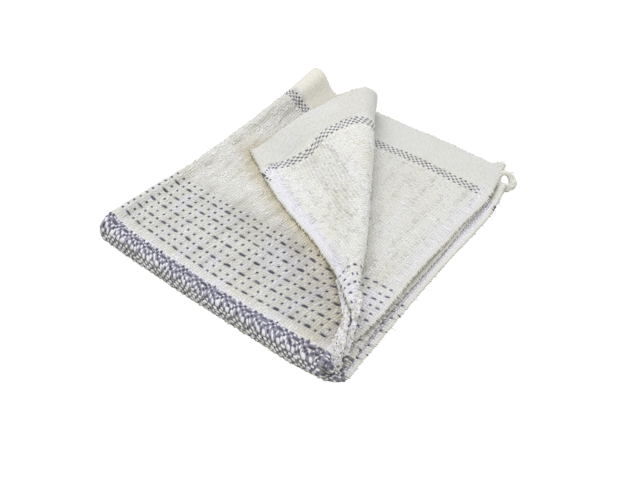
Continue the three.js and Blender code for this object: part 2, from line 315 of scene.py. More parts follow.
def bow(u, v):
    """The rows sag towards the front fold in the middle of the top layer and rise towards both selvedges;
    the narrow lines wander by themselves."""
    sag = -4.6 * np.exp(-(((u - 140) / 58) ** 2)) * np.exp(-(((v - 46) / 24) ** 2)) + 2.4 * np.exp(
        -(((u - 6) / 16) ** 2)
    ) * np.exp(-(((v - 28) / 18) ** 2))
    a = np.abs(v)
    rise = np.where(u > 0, side_rise(a, "right"), side_rise(a, "left")) * smooth((np.abs(u) - 215) / 50)
    stray = 0.35 * noise(u, v, 17, 6, 31) * smooth((a - 30) / 10)
    return sag + np.sign(v) * (rise + line_wander(u, "shift") * smooth((a - 268) / 26)) + stray


def unbowed(u, v):
    """Where a place on the cloth would be if its row ran straight."""
    x = v
    for _ in range(4):
        x = v - bow(u, x)
    return x


def pick_at(j):
    """Along-position of a pick, counted from the middle of the cloth."""
    a = np.abs(j)
    return np.sign(j) * np.where(a <= 12, a * BAND_PICK, 32.8 + (a - 12) * PICK)


def pick_number(v):
    a = np.abs(v)
    return np.sign(v) * np.where(a <= 32.8, a / BAND_PICK, 12 + (a - 32.8) / PICK)


def fold6(n):
    """Distance, in threads, from the middle of the six-thread repeat."""
    return np.abs((n + 3) % 6 - 3)


def weft_up(i, j):
    """True where the weft lies over the warp on the face side; plain weave in the lines, the selvedges and most of the band."""
    a, b = fold6(i), fold6(j)
    twill = ((b == 0) & (a != 2)) | ((b == 1) & (a == 2)) | ((b == 2) & (a == 1)) | ((b == 3) & (a % 3 == 0))
    u = np.interp(i, all_ends, all_places)
    plain = (np.abs(u) > WIDTH / 2 - SELVEDGE) | (np.abs(j) >= LINE_FIRST - 1) | ((j <= PLAIN_HALF) & (j >= -BAND_HALF))
    return np.where(plain, (i + j) % 2 == 0, twill)


LINE_FIRST = int(round(12 + (LINE_AT - 32.8) / PICK - (LINE_PICKS - 1) / 2))


def is_blue(j):
    a = np.abs(j)
    rows = (a >= 12) & (a <= 12 + 6 * DASH_ROWS - 3) & ((a - 12) % 3 == 0)
    return (a <= BAND_HALF) | rows | ((a >= LINE_FIRST) & (a < LINE_FIRST + LINE_PICKS))


i_all = np.arange(int(math.ceil(end_number(-WIDTH / 2 + 2.5))), int(math.floor(end_number(WIDTH / 2 - 2.5))) + 1)
j_all = np.arange(-(LINE_FIRST + LINE_PICKS), LINE_FIRST + LINE_PICKS + 1)

# ---------------------------------------------------------------- the base grid that all else lies on
GU, GV = 1.5, 1.4
gu = np.linspace(-WIDTH / 2, WIDTH / 2, int(round(WIDTH / GU)) + 1)
gv = np.linspace(-LENGTH / 2, LENGTH / 2, int(round(LENGTH / GV)) + 1)
UU, VV = np.meshgrid(gu, gv, indexing="ij")
base = folded(UU, VV)


def blur(a, w):
    """One step of smoothing along both threads; w says how strongly, point by point."""
    b = a.copy()
    b[1:-1] += (a[:-2] + a[2:] - 2 * a[1:-1]) * 0.25
    c = b.copy()
    c[:, 1:-1] += (b[:, :-2] + b[:, 2:] - 2 * b[:, 1:-1]) * 0.25
    return a + (c - a) * w[..., None]


base[..., 2] -= 1.5 * smooth((UU - 264) / 20) * smooth((VV - 45) / 35)  # the flap's free edge sags onto the layer below
# the start of the roll is where the sheet is most crowded: let it relax there
apex = smooth((UU - 215) / 40) * smooth((VV - 6) / 20) * smooth((150 - VV) / 50)
for _ in range(26):
    base = blur(base, apex)
for _ in range(3):
    base = blur(base, smooth((UU - 20) / 30) * smooth((VV - 40) / 30))


def grid_normals(p):
    du = np.empty_like(p)
    dv = np.empty_like(p)
    du[1:-1], du[0], du[-1] = p[2:] - p[:-2], p[1] - p[0], p[-1] - p[-2]
    dv[:, 1:-1], dv[:, 0], dv[:, -1] = p[:, 2:] - p[:, :-2], p[:, 1] - p[:, 0], p[:, -1] - p[:, -2]
    n = np.cross(du, dv)
    return n / np.maximum(np.linalg.norm(n, axis=-1, keepdims=True), 1e-9)


def refine(p):
    """Twice as many points each way."""
    q = np.empty((p.shape[0] * 2 - 1, p.shape[1], 3))
    q[::2], q[1::2] = p, (p[1:] + p[:-1]) / 2
    r = np.empty((q.shape[0], q.shape[1] * 2 - 1, 3))
    r[:, ::2], r[:, 1::2] = q, (q[:, 1:] + q[:, :-1]) / 2
    return r


base = refine(base)
gu = np.linspace(-WIDTH / 2, WIDTH / 2, 2 * len(gu) - 1)
gv = np.linspace(-LENGTH / 2, LENGTH / 2, 2 * len(gv) - 1)
UU, VV = np.meshgrid(gu, gv, indexing="ij")

# crinkle: the cloth has shrunk into ribs along the warp, with a trough at every sixth end, broken and
# wavy; the bottom of the lowest layer stays on its flat
bottom = (UU > LEFT_CREST) & (VV < -8)
free = np.where(bottom, 0.0, 1.0)
header = smooth((np.abs(VV) - HEADER_FROM + 4) / 8)
side = smooth((np.abs(UU) - (WIDTH / 2 - SELVEDGE - 2)) / 5)
plain = smooth((np.abs(VV) - 106) / 14) * (1 - header)
I_AT = end_number(UU) + 0.55 * noise(UU, VV, 30, 22, 10)
rib3 = np.abs((I_AT + 3) % 6 - 3)
trough = np.exp(-((rib3 / 0.95) ** 2)) + 0.45 * np.exp(-(((3 - rib3) / 0.8) ** 2))
broken = 0.62 + 0.75 * noise(UU, VV, 8, 16, 15)
# the ground between the ribs crinkles into short lumps along the warp, with sharp valleys between them
bend = 3.2 * noise(UU, VV, 26, 20, 16)
lumps = np.abs(noise(UU + bend, VV + 0.7 * bend, 3.1, 8.5, 12)) - 0.33
lumps_fine = np.abs(noise(UU - bend, VV, 2.2, 4.6, 17)) - 0.33
inside = 1 - side
rib = -0.95 * trough * np.clip(broken, 0, 1.2) * (0.85 + 0.15 * plain) * smooth((np.abs(VV) - 20) / 10)
crinkle = (rib + (1.0 * lumps + 0.7 * lumps_fine) * (0.5 + 0.5 * plain)) * (1 - header) * inside
swell = (
    0.45 * noise(UU, VV, 38, 47, 13) + 0.35 * noise(UU, VV, 6.5, 24, 11) * plain
    + (0.55 * noise(UU, VV, 45, 22, 14) + 0.40 * noise(UU, VV, 10, 15, 18)) * header
    + 0.35 * noise(UU * 0 + np.sign(UU) * 40, VV, 50, 6.5, 20) * side * (1 - header)
)
grain = 0.3 * (np.abs(noise(UU, VV, 3.4, 3.0, 19)) - 0.33) * header + 0.25 * noise(UU, VV, 3.2, 4, 23) * side
streak = np.clip(1 - np.abs(noise(UU + 1.6 * bend, VV + bend, 5.2, 15, 24)) / 0.16, 0, 1) * smooth((UU - 4) / 8)
streak *= smooth((VV - 96) / 20) * (1 - header) * np.clip(0.6 + 0.9 * noise(UU, VV, 20, 26, 25), 0, 1)
crinkle = crinkle - 0.7 * streak
# painted shade: the crinkle's valleys, its sharp streaks and the warp troughs are painted darker through this mask
crinkle_shade = np.clip(0.05 + 0.75 * streak - (rib * 0.9 + 0.35 * (lumps + lumps_fine)) * (1 - header) * inside, 0, 1)
up = grid_normals(base)
sheet_base = base + up * ((swell + 0.7 * rib * inside * (1 - header) + 0.6 * grain) * free)[..., None]
base = base + up * ((swell + crinkle + grain) * free)[..., None]
normal = grid_normals(sheet_base)
for _ in range(6):
    normal = blur(normal, np.ones(UU.shape))
    normal /= np.linalg.norm(normal, axis=-1, keepdims=True)


def read_grid(g, u, v):
    fu = np.clip((u + WIDTH / 2) / (gu[1] - gu[0]), 0, len(gu) - 1.0001)
    fv = np.clip((v + LENGTH / 2) / (gv[1] - gv[0]), 0, len(gv) - 1.0001)
    i, j = fu.astype(int), fv.astype(int)
    s, t = (fu - i)[..., None], (fv - j)[..., None]
    return (g[i, j] * (1 - s) + g[i + 1, j] * s) * (1 - t) + (g[i, j + 1] * (1 - s) + g[i + 1, j + 1] * s) * t


CORNER_DRAWN = 13.0
CORE = 1.0  # half thickness of the ground under the yarns' floats


def core_height(u, v, face):
    """Height of the sheet's own face over its middle surface."""
    head = smooth((np.abs(v) - HEADER_FROM + 2) / 4)
    edge = smooth((np.abs(u) - (WIDTH / 2 - SELVEDGE - 1)) / 3)
    h = CORE + 0.1 * head + 0.25 * edge
    resting = (u > 8) & (v < -16) & (u < 268) & (v > -300) & (face > 0)
    return np.where(resting, THICK / 2, h)


def place(u, v, h, face=1, on=None):
    """Point at height h off the face side (1) or the back (-1) of the sheet, from its middle surface."""
    u, v = np.asarray(u, float), np.asarray(v, float)
    v = v + CORNER_DRAWN * smooth((u - 258) / 31) * smooth((-322 - v) / 30)  # this corner is rolled up
    p, n = read_grid(base if on is None else on, u, v), read_grid(normal, u, v)
    past_u, past_v = np.abs(u) - WIDTH / 2, np.abs(v) - LENGTH / 2
    step = 2.0
    if np.any(past_u > 0):
        out = read_grid(base, np.sign(u) * WIDTH / 2, v) - read_grid(base, np.sign(u) * (WIDTH / 2 - step), v)
        out /= np.maximum(np.linalg.norm(out, axis=-1, keepdims=True), 1e-9)
        p = p + out * np.maximum(past_u, 0)[..., None]
    if np.any(past_v > 0):
        out = read_grid(base, u, np.sign(v) * LENGTH / 2) - read_grid(base, u, np.sign(v) * (LENGTH / 2 - step))
        out /= np.maximum(np.linalg.norm(out, axis=-1, keepdims=True), 1e-9)
        p = p + out * np.maximum(past_v, 0)[..., None]
    return p + n * (face * np.asarray(h))[..., None]


# ---------------------------------------------------------------- what lies open, and how much light it gets
def plain_mesh(step_u, step_v):
    su = np.linspace(-WIDTH / 2, WIDTH / 2, int(WIDTH / step_u) + 1)
    sv = np.linspace(-LENGTH / 2, LENGTH / 2, int(LENGTH / step_v) + 1)
    U, V = np.meshgrid(su, sv, indexing="ij")
    at = np.arange(U.size).reshape(U.shape)
    q = np.stack([at[:-1, :-1], at[1:, :-1], at[1:, 1:], at[:-1, 1:]], -1).reshape(-1, 4)
    return su, sv, U, V, q


_, _, Uc, Vc, qc = plain_mesh(3.0, 3.0)
tree = BVHTree.FromPolygons(read_grid(base, Uc, Vc).reshape(-1, 3).tolist(), qc.tolist())
lu, lv, Ul, Vl, _ = plain_mesh(5.0, 5.0)
golden = pi * (3 - math.sqrt(5))
RAYS = 22
cosines = np.sqrt(1 - (np.arange(RAYS) + 0.5) / RAYS * 0.995)
spins = np.arange(RAYS) * golden
NEAR, FAR = 45.0, 700.0


def openness(face):
    """For each point of the coarse grid: the share of light that reaches it, and whether it shows at all."""
    p = read_grid(base, Ul, Vl)
    n = read_grid(normal, Ul, Vl) * face
    n /= np.linalg.norm(n, axis=-1, keepdims=True)
    t = np.cross(n, np.where(np.abs(n[..., 2:3]) < 0.9, (0.0, 0.0, 1.0), (1.0, 0.0, 0.0)))
    t /= np.linalg.norm(t, axis=-1, keepdims=True)
    b = np.cross(n, t)
    start = p + n * 1.9
    light = np.zeros(Ul.shape)
    seen = np.zeros(Ul.shape, bool)
    for c, a in zip(cosines, spins):
        s = math.sqrt(1 - c * c)
        d = n * c + t * (s * math.cos(a)) + b * (s * math.sin(a))
        for i in range(Ul.shape[0]):
            for j in range(Ul.shape[1]):
                dz = d[i, j, 2]
                ground = start[i, j, 2] / -dz if dz < -1e-3 else 1e9
                hit = tree.ray_cast(start[i, j], d[i, j], FAR)[3]
                reach = min(1e9 if hit is None else hit, ground)
                light[i, j] += min(max(reach, 0.0) / NEAR, 1.0) ** 0.7
                if reach > 1e8:
                    seen[i, j] = True
    return light / RAYS, seen


light_face, seen_face = openness(1)
light_back, seen_back = openness(-1)


def grow(m):
    g = m.copy()
    g[1:] |= m[:-1]
    g[:-1] |= m[1:]
    g[:, 1:] |= m[:, :-1]
    g[:, :-1] |= m[:, 1:]
    return g


def read_coarse(g, u, v):
    fu = np.clip((u - lu[0]) / (lu[1] - lu[0]), 0, len(lu) - 1.0001)
    fv = np.clip((v - lv[0]) / (lv[1] - lv[0]), 0, len(lv) - 1.0001)
    i, j = fu.astype(int), fv.astype(int)
    s, t = fu - i, fv - j
    return (g[i, j] * (1 - s) + g[i + 1, j] * s) * (1 - t) + (g[i, j + 1] * (1 - s) + g[i + 1, j + 1] * s) * t


def light_at(u, v, face):
    return read_coarse(light_face if face > 0 else light_back, u, v)


open_face, open_back = grow(seen_face).astype(float), grow(seen_back).astype(float)


def open_at(u, v, face):
    return read_coarse(open_face if face > 0 else open_back, u, v)


# painted shade and painted bounce light: the top layer close to the flap's free edge is painted tan, where the flap
# shades it and the cloth lights itself; the rows are painted darker further out
flap_edge = folded(np.full(90, WIDTH / 2), np.linspace(16, LENGTH / 2, 90))
flap_hem = folded(np.linspace(WIDTH / 2, 190, 30), np.full(30, LENGTH / 2))
low_edge = np.array([(89.6, -85.2, 25.0), (101.3, -96.9, 25.0), (110.5, -106.9, 24.0), (117.5, -116.7, 23.0), (121.8, -126.8, 23.0), (125.4, -137.1, 22.0)])
over_edge = np.concatenate([flap_edge, flap_hem, low_edge])
gap_to_edge = np.full(UU.shape, 1e9)
for q in over_edge:
    gap_to_edge = np.minimum(gap_to_edge, (base[..., 0] - q[0]) ** 2 + (base[..., 1] - q[1]) ** 2)
gap_to_edge = np.sqrt(gap_to_edge)
reach_of_edge = 12.0 + 4.0 * noise(UU, VV, 12, 40, 33)
shaded_rows = 0.62 * np.exp(-((gap_to_edge / 27) ** 2)) * smooth((126 - VV) / 20)
flap_shade_face = np.maximum(np.exp(-((gap_to_edge / reach_of_edge) ** 2)), shaded_rows)
flap_shade_face = flap_shade_face * ((UU > LEFT_CREST) & (VV > 8) & (UU < 283))
# and the rows are painted greyer, and darker still towards the flap, as painted shade from it
in_rows = smooth((VV - 20) / 14) * smooth((132 - VV) / 22) * (UU > 4)
dim_face = in_rows * (0.20 + 0.42 * np.exp(-((gap_to_edge / 48) ** 2)) * smooth((gap_to_edge - 2) / 16)) * (1 + 0.35 * noise(UU, VV, 22, 15, 35))
own = np.stack([crinkle_shade, flap_shade_face, dim_face], -1)

close_to_edge = (smooth((18 - gap_to_edge) / 8) * ((UU > LEFT_CREST) & (VV > 8)))[..., None]

# ---------------------------------------------------------------- mesh building
def uv_of(u, v):
    return np.stack([(u + WIDTH / 2) / WIDTH, (v + LENGTH / 2) / LENGTH], -1)


def build(name, points, faces, u, v, face, material, tone=None, light=None):
    """A mesh object from points in millimetres. u, v and face say where on the cloth each point lies."""
    mesh = bpy.data.meshes.new(name)
    quads = np.concatenate([np.asarray(f, np.int32).reshape(len(f), -1).ravel() for f in faces])
    sizes = np.concatenate([np.full(len(f), f.shape[1]) for f in faces])
    starts = np.concatenate([[0], np.cumsum(sizes)[:-1]])
    mesh.vertices.add(len(points))
    mesh.vertices.foreach_set("co", (np.asarray(points, float) / 1000).astype(np.float32).ravel())
    mesh.loops.add(len(quads))
    mesh.loops.foreach_set("vertex_index", quads)
    mesh.polygons.add(len(sizes))
    mesh.polygons.foreach_set("loop_start", starts.astype(np.int32))
    mesh.polygons.foreach_set("use_smooth", np.ones(len(sizes), bool))
    layer = mesh.uv_layers.new(name="UVMap")
    layer.data.foreach_set("uv", uv_of(u, v).astype(np.float32)[quads].ravel())
    face = np.broadcast_to(face, u.shape).astype(float)
    # painted shade in the shade attribute: the openness to the sky, eased on the back, kept up beside the flap's edge,
    # and darker towards the floor along the front fold
    if light is None:
        light = np.where(face > 0, light_at(u, v, 1), light_at(u, v, -1))
        light = np.where(face > 0, light, 0.35 + 0.65 * light)
        beside = read_grid(close_to_edge, u, v)[..., 0]
        light = np.where(face > 0, np.maximum(light, 0.62 * beside), light)
        low = 1 - smooth(np.asarray(points, float)[:, 2] / 13)
        light = light * (1 - 0.8 * low * (face > 0) * (np.abs(v) < 30))
    threads = np.stack([end_number(u), pick_number(unbowed(u, v)), face], -1)
    marks = read_grid(own, u, v)
    flap_shade = np.where(face > 0, marks[..., 1], 0.0)
    for key, kind, field, values in (
        ("crinkle_shade", "FLOAT", "value", marks[..., 0] * np.where(face > 0, 1.0, 0.3)),
        ("flap_shade", "FLOAT", "value", flap_shade),
        ("dim", "FLOAT", "value", np.where(face > 0, marks[..., 2], 0.0)),
        # painted light and shade on the back: the flap's back is painted lighter, the back of the other layers a little
        # darker, and both darker at the header where v is large
        ("pale", "FLOAT", "value", np.where(face > 0, 1.0, np.where(u > 0, 1.07, 0.985) - np.where(u > 0, 0.11, 0.045) * smooth((v - HEADER_FROM + 4) / 8))),
        ("tone", "FLOAT", "value", np.zeros(len(points)) if tone is None else tone),
        ("shade", "FLOAT", "value", light),
        ("threads", "FLOAT_VECTOR", "vector", threads),
    ):
        a = mesh.attributes.new(key, kind, "POINT")
        a.data.foreach_set(field, np.asarray(values, np.float32).ravel())
    mesh.update(calc_edges=True)
    mesh.validate()
    mesh.materials.append(material)
    obj = bpy.data.objects.new(name, mesh)
    bpy.context.scene.collection.objects.link(obj)
    return obj


def runs(*parts):
    """Grid lines from runs (from, to, step)."""
    out = [parts[0][0]]
    for a, b, step in parts:
        n = max(int(round((b - a) / step)), 1)
        out += [a + (b - a) * k / n for k in range(1, n + 1)]
    return np.array(out)


SHEET_U = runs((-289, -286.5, 1.25), (-286.5, -94, 3.4), (-94, -26, 7.0), (-26, 14, 1.7), (14, 30, 2.2), (30, 286.5, 3.0), (286.5, 289, 1.25))
SHEET_V = runs((-352, -349, 1.5), (-349, -300, 4.0), (-300, -28, 7.5), (-28, 26, 1.6), (26, 306, 2.7), (306, 349, 1.5), (349, 352, 1.0))


def sheet_mesh(material):
    U, V = np.meshgrid(SHEET_U, SHEET_V, indexing="ij")
    nu, nv = U.shape
    # the hems are nibbled and the selvedges drawn in pick by pick
    hem = smooth((np.abs(V) - 340) / 12)
    rim = smooth((np.abs(U) - 279) / 10)
    v2 = V - np.sign(V) * hem * (0.9 + 0.5 * np.sin(2 * pi * U / 5.3) + 0.7 * noise(U, V * 0, 9, 50, 21))
    u2 = U - np.sign(U) * rim * (0.5 + 0.35 * noise(U * 0, V, 50, 7, 22))
    tip = 1 - 0.45 * (1 - smooth((LENGTH / 2 - np.abs(V)) / 2.5))
    tip *= 1 - 0.35 * (1 - smooth((WIDTH / 2 - np.abs(U)) / 2.5))
    points = np.concatenate([place(u2, v2, core_height(U, V, f) * tip, f, sheet_base).reshape(-1, 3) for f in (1, -1)])
    points[:, 2] = np.maximum(points[:, 2], 0.0)
    at = np.arange(nu * nv).reshape(nu, nv)
    q = np.stack([at[:-1, :-1], at[1:, :-1], at[1:, 1:], at[:-1, 1:]], -1).reshape(-1, 4)
    back = q[:, ::-1] + nu * nv
    ring = np.concatenate([at[:, 0], at[-1, 1:], at[-2::-1, -1], at[0, -2:0:-1]])
    nxt = np.roll(ring, -1)
    rim_faces = np.stack([ring, ring + nu * nv, nxt + nu * nv, nxt], -1)
    u, v = np.tile(U.ravel(), 2), np.tile(V.ravel(), 2)
    side_of = np.repeat([1.0, -1.0], nu * nv)
    return build("woven_sheet", points, [np.concatenate([q, back, rim_faces])], u, v, side_of, material)


def tube_faces(m, rings, sides, flip):
    """Faces of m closed pods, each of so many rings between two end points."""
    per = rings * sides + 2
    o = np.arange(m)[:, None, None] * per + 1
    r = np.arange(rings - 1)[None, :, None] * sides
    s = np.arange(sides)[None, None, :]
    s2 = (s + 1) % sides
    quads = np.stack([o + r + s, o + r + s2, o + r + sides + s2, o + r + sides + s], -1).reshape(-1, 4)
    o2 = np.arange(m)[:, None] * per
    k = np.arange(sides)[None, :]
    k2 = (k + 1) % sides
    first = np.stack([o2 + 0 * k, o2 + 1 + k2, o2 + 1 + k], -1).reshape(-1, 3)
    last_ring = o2 + 1 + (rings - 1) * sides
    last = np.stack([o2 + per - 1 + 0 * k, last_ring + k, last_ring + k2], -1).reshape(-1, 3)
    out = [quads, np.concatenate([first, last])]
    return [f[:, ::-1] for f in out] if flip else out


def pods(name, i0, j0, half, warp, face, material, rings, sides=6, height=0.6, wide=0.47, seed=1, lean=0.0, curve=0.0, proud=False):
    """Floats as closed pods that stand out of the sheet: middle at end i0 and pick j0, half length in
    threads, along the warp or the weft."""
    m = len(i0)
    if m == 0:
        return None
    rng = np.random.default_rng(seed)
    r1 = lambda s: s * rng.standard_normal((m, 1, 1))
    wide = np.broadcast_to(wide, (m,))[:, None, None]
    u0 = np.interp(i0, all_ends, all_places)
    v0 = pick_at(j0)
    k = np.linspace(-1, 1, rings + 2)[1:-1]
    k = np.sign(k) * (1 - (1 - np.abs(k)) ** 1.25)
    k = k[None, :, None]
    ang = (np.arange(sides) * 2 * pi / sides + pi / sides)[None, None, :]
    full = np.sqrt(np.maximum(1 - np.abs(k) ** 3, 0))
    banded = (np.abs(v0) < 24)[:, None, None] * 1.0
    size = (1 + r1(0.15) + banded * (r1(0.17) + (0.22 * noise(u0, v0, 6, 6, 48))[:, None, None])).clip(0.5, 1.55)
    long = (half[:, None, None] - 0.04) * (1 + r1(0.08)).clip(0.8, 1.12)
    in_band = banded * (0.0 if warp else 1.0)
    sway = (0.30 * noise(u0, v0, 11, 13, 41) + 0.18 * noise(u0, v0, 5, 7, 42))[:, None, None] * (1.0 if warp else 0.35)
    sunk = r1(0.13) + banded * r1(0.16) + (0.16 * noise(u0, v0, 6, 9, 43))[:, None, None]
    across = wide * size * full * np.cos(ang) + (r1(0.12) + banded * r1(0.14) + curve) * (1 - k * k) + (r1(0.12) + lean + sway) * k + r1(0.08)
    along = k * long + 0 * ang
    up = np.sin(ang)
    arch = 1 - 0.35 * np.abs(k) ** 2
    tall = np.broadcast_to(height, (m,))[:, None, None] * (1 + r1(0.22) + banded * r1(0.14)).clip(0.6 if proud else 0.45, 1.5)
    h = np.where(up > 0, tall * up * full * arch, 0.75 * up * full) - 0.12 + (0.35 if proud else 1.0) * sunk.clip(-0.4, 0.4) * (1 - k * k)
    tips_along = np.concatenate([-long, long], 1)
    tips_across = np.concatenate([-(across[:, :1].mean(-1, keepdims=True) * 0 + lean), np.full((m, 1, 1), lean)], 1)
    pack = lambda body, ends: np.concatenate(
        [ends[:, :1, 0], body.reshape(m, -1), ends[:, 1:, 0]], 1
    )
    A, C, H = pack(along, tips_along), pack(across, tips_across), pack(h + 0 * along, np.full((m, 2, 1), -0.35))
    di, dj = (C, A) if warp else (A, C)
    # in the band the threads crowd and wander
    di = di + banded[:, 0] * (0.42 * noise(u0, v0, 8, 7, 44) + 0.20 * noise(u0, v0, 4, 4, 46))[:, None]
    dj = dj + banded[:, 0] * (0.34 * noise(u0, v0, 7, 9, 45) + 0.16 * noise(u0, v0, 4, 4, 47))[:, None]
    i, j = i0[:, None] + di, j0[:, None] + dj
    u = np.interp(i, all_ends, all_places)
    v = pick_at(j)
    v = v + bow(u, v)
    u, v = u.ravel(), v.ravel()
    pts = place(u, v, core_height(u, v, 0) + H.ravel(), face, sheet_base if proud else None)
    pts[:, 2] = np.maximum(pts[:, 2], 0.05)
    faces = tube_faces(m, rings, sides, (face > 0) != warp)
    tone = np.repeat(rng.uniform(0, 1, m), rings * sides + 2)
    return build(name, pts, faces, u, v, float(face), material, tone)


def floats_of(face):
    """All floats on a face: arrays of (middle end, middle pick, half length, along the warp)."""
    I, J = np.meshgrid(i_all, j_all, indexing="ij")
    weft = weft_up(I, J)
    if face < 0:
        weft = ~weft
    out = []
    for j in range(len(j_all)):
        edges = np.flatnonzero(np.diff(np.concatenate([[0], weft[:, j].astype(int), [0]])))
        for a, b in zip(edges[::2], edges[1::2]):
            out.append(((i_all[a] + i_all[b - 1]) / 2, j_all[j], (b - a) / 2, 0))
    for i in range(len(i_all)):
        edges = np.flatnonzero(np.diff(np.concatenate([[0], (~weft[i]).astype(int), [0]])))
        for a, b in zip(edges[::2], edges[1::2]):
            out.append((i_all[i], (j_all[a] + j_all[b - 1]) / 2, (b - a) / 2, 1))
    f = np.array(out, float)
    u = np.interp(f[:, 0], all_ends, all_places)
    v = pick_at(f[:, 1])
    keep = (open_at(u, v + bow(u, v), face) > 0.25) & (np.abs(v) < HEADER_FROM + 1)
    return f[keep]


def height_of(warp, dye, face, pick):
    """How far the floats stand out: the blue weft is proud in the rows and near the band's edge, sunk in its middle."""
    banded, middle = np.abs(pick) <= BAND_HALF + 0.6, pick <= 2.6
    if warp:
        return np.where(banded, np.where(middle, 1.05, 0.6), 0.85)
    if dye:
        return np.where(banded, np.where(middle, 0.55, 0.95), 0.82 if face > 0 else 0.6)
    return np.full(len(pick), 0.45)


def turns(name, positions, edge, sign, material, radius=0.75, sides=5, steps=7, out=0.55, seed=2, width=1.0):
    """Threads that turn round the edge of the sheet. edge: 'side' for a selvedge, 'hem' for a hem."""
    rng = np.random.default_rng(seed)
    m = len(positions)
    pos = np.asarray(positions, float)[:, None, None] + 0.35 * rng.standard_normal((m, 1, 1))
    reach = (out + 0.35 * rng.standard_normal((m, 1, 1))).clip(0.1, 1.8)
    t = (np.linspace(-1, 1, steps + 2)[1:-1] * pi / 2)[None, :, None]
    ang = (np.arange(sides) * 2 * pi / sides)[None, None, :]
    r = radius * (1 - 0.5 * np.abs(np.sin(t)) ** 4) * (1 + 0.32 * rng.standard_normal((m, 1, 1))).clip(0.45, 1.9)
    path = lambda t: (-2.6 * np.abs(np.sin(t)) ** 3 + reach * np.cos(t) - 0.5, THICK / 2 * 0.72 * np.sin(t))
    a0, h0 = path(t)
    a = a0 + r * np.cos(ang) * np.cos(t)
    h = h0 + r * np.cos(ang) * np.sin(t)
    b = r * np.sin(ang) * width + 0 * a
    ta, th = path(np.array([-pi / 2, pi / 2])[None, :, None])
    pack = lambda body, ends: np.concatenate([ends[:, :1, 0], body.reshape(m, -1), ends[:, 1:, 0]], 1)
    A = pack(a, ta - 0.5)
    H = pack(h, th + 0 * ta)
    B = pack(b, 0 * ta) + pos[:, 0]
    u, v = (sign * (WIDTH / 2 + A), B) if edge == "side" else (B, sign * (LENGTH / 2 + A))
    u, v = u.ravel(), v.ravel()
    pts = place(u, v, H.ravel(), 1)
    pts[:, 2] = np.maximum(pts[:, 2], 0.05)
    faces = tube_faces(m, steps, sides, (sign > 0) == (edge == "side"))
    tone = np.repeat(rng.uniform(0, 1, m), steps * sides + 2)
    lit = 0.3 + 0.7 * np.maximum(light_at(u, v, 1), light_at(u, v, -1))
    return build(name, pts, faces, u, v, 1.0, material, tone, lit)


def spline(points, n):
    """A smooth line through given points; extra columns ride along."""
    a = np.array(points, float)
    at = np.linspace(0, len(a) - 1, n)
    read = table(" ".join(["k"] + [f"c{i}" for i in range(a.shape[1])]), *[(k, *row) for k, row in enumerate(a)])
    return np.stack([read(at, f"c{i}") for i in range(a.shape[1])], -1)


def cord(name, points, material, u, v, rings=120, sides=18, strands=5, twist=2.0, lump=0.35, seed=3, light=0.9, tone=0.55):
    """A rolled or bunched edge: x, y, z, half width, half thickness, given row by row; strands run along it."""
    c = spline(points, rings)
    rng = np.random.default_rng(seed)
    p, half_w, half_t = c[:, :3], c[:, 3], c[:, 4]
    d = np.gradient(p, axis=0)
    d /= np.linalg.norm(d, axis=1, keepdims=True)
    run = np.concatenate([[0], np.cumsum(np.linalg.norm(np.diff(p, axis=0), axis=1))])
    across = np.cross(d, (0.0, 0.0, 1.0))
    across /= np.maximum(np.linalg.norm(across, axis=1, keepdims=True), 1e-6)
    over = np.cross(across, d)
    ang = np.arange(sides) * 2 * pi / sides
    A, R = np.meshgrid(ang, run)
    turned = A * strands + twist * 2 * pi * R / 20
    wave = 0.26 * np.abs(np.sin(turned / 2)) - 0.13
    rough = lump * (noise(R, 3.0 * np.cos(A) + 40, 4.5, 2.2, seed) + 0.6 * noise(R, 3.0 * np.sin(A) + 80, 2.4, 1.6, seed + 1))
    r = 1 + wave + rough / np.maximum(half_w, 1.0)[:, None]
    ends = np.sqrt(np.clip(np.minimum(R, run[-1] - R) / 2.5, 0.02, 1))
    body = (
        p[:, None]
        + across[:, None] * (half_w[:, None] * r * ends * np.cos(A))[..., None]
        + over[:, None] * (half_t[:, None] * r * ends * np.sin(A))[..., None]
    )
    pts = np.concatenate([p[:1], body.reshape(-1, 3), p[-1:]])
    pts[:, 2] = np.maximum(pts[:, 2], 0.05)
    uu = np.full(len(pts), float(u))
    vv = np.linspace(v[0], v[1], len(pts))
    lit = np.full(len(pts), light)
    # painted shade in the grooves between the strands and on the underside
    lit[1:-1] -= 0.35 * (wave < -0.02).ravel() + 0.2 * (np.sin(A).ravel() < -0.3)
    return build(name, pts, tube_faces(1, rings, sides, True), uu, vv, 1.0, material, np.full(len(pts), tone), lit)


def knots(name, centres, material, u, v, long=1.5, thick=0.8, seed=5, lit=(0.9, 0.9)):
    """Small lumps of yarn where it comes up between others."""
    rng = np.random.default_rng(seed)
    m, rings, sides = len(centres), 3, 7
    way = rng.standard_normal((m, 3)) * (1, 1, 0.3) + (0.6, -0.5, 0)
    way /= np.linalg.norm(way, axis=1, keepdims=True)
    e1 = np.cross(way, (0.0, 0.0, 1.0))
    e1 /= np.linalg.norm(e1, axis=1, keepdims=True)
    e2 = np.cross(way, e1)
    k = np.array([-0.6, 0.0, 0.6])[None, :, None, None]
    ang = np.arange(sides) * 2 * pi / sides
    a, b = np.cos(ang)[None, None, :, None], np.sin(ang)[None, None, :, None]
    scale = rng.uniform(0.7, 1.3, (m, 1, 1, 1))
    body = centres[:, None, None] + scale * (k * long * way[:, None, None] + thick * np.sqrt(1 - k * k) * (a * e1[:, None, None] + b * e2[:, None, None]))
    tip = scale[:, 0] * long * way[:, None]
    pts = np.concatenate([centres[:, None] - tip, body.reshape(m, -1, 3), centres[:, None] + tip], 1).reshape(-1, 3)
    pts[:, 2] = np.maximum(pts[:, 2], 0.05)
    n = len(pts)
    return build(name, pts, tube_faces(m, rings, sides, True), np.full(n, float(u)), np.full(n, float(v)), 1.0, material,
                 np.repeat(rng.uniform(0, 1, m), rings * sides + 2), np.repeat(rng.uniform(lit[0], lit[1], m), rings * sides + 2))


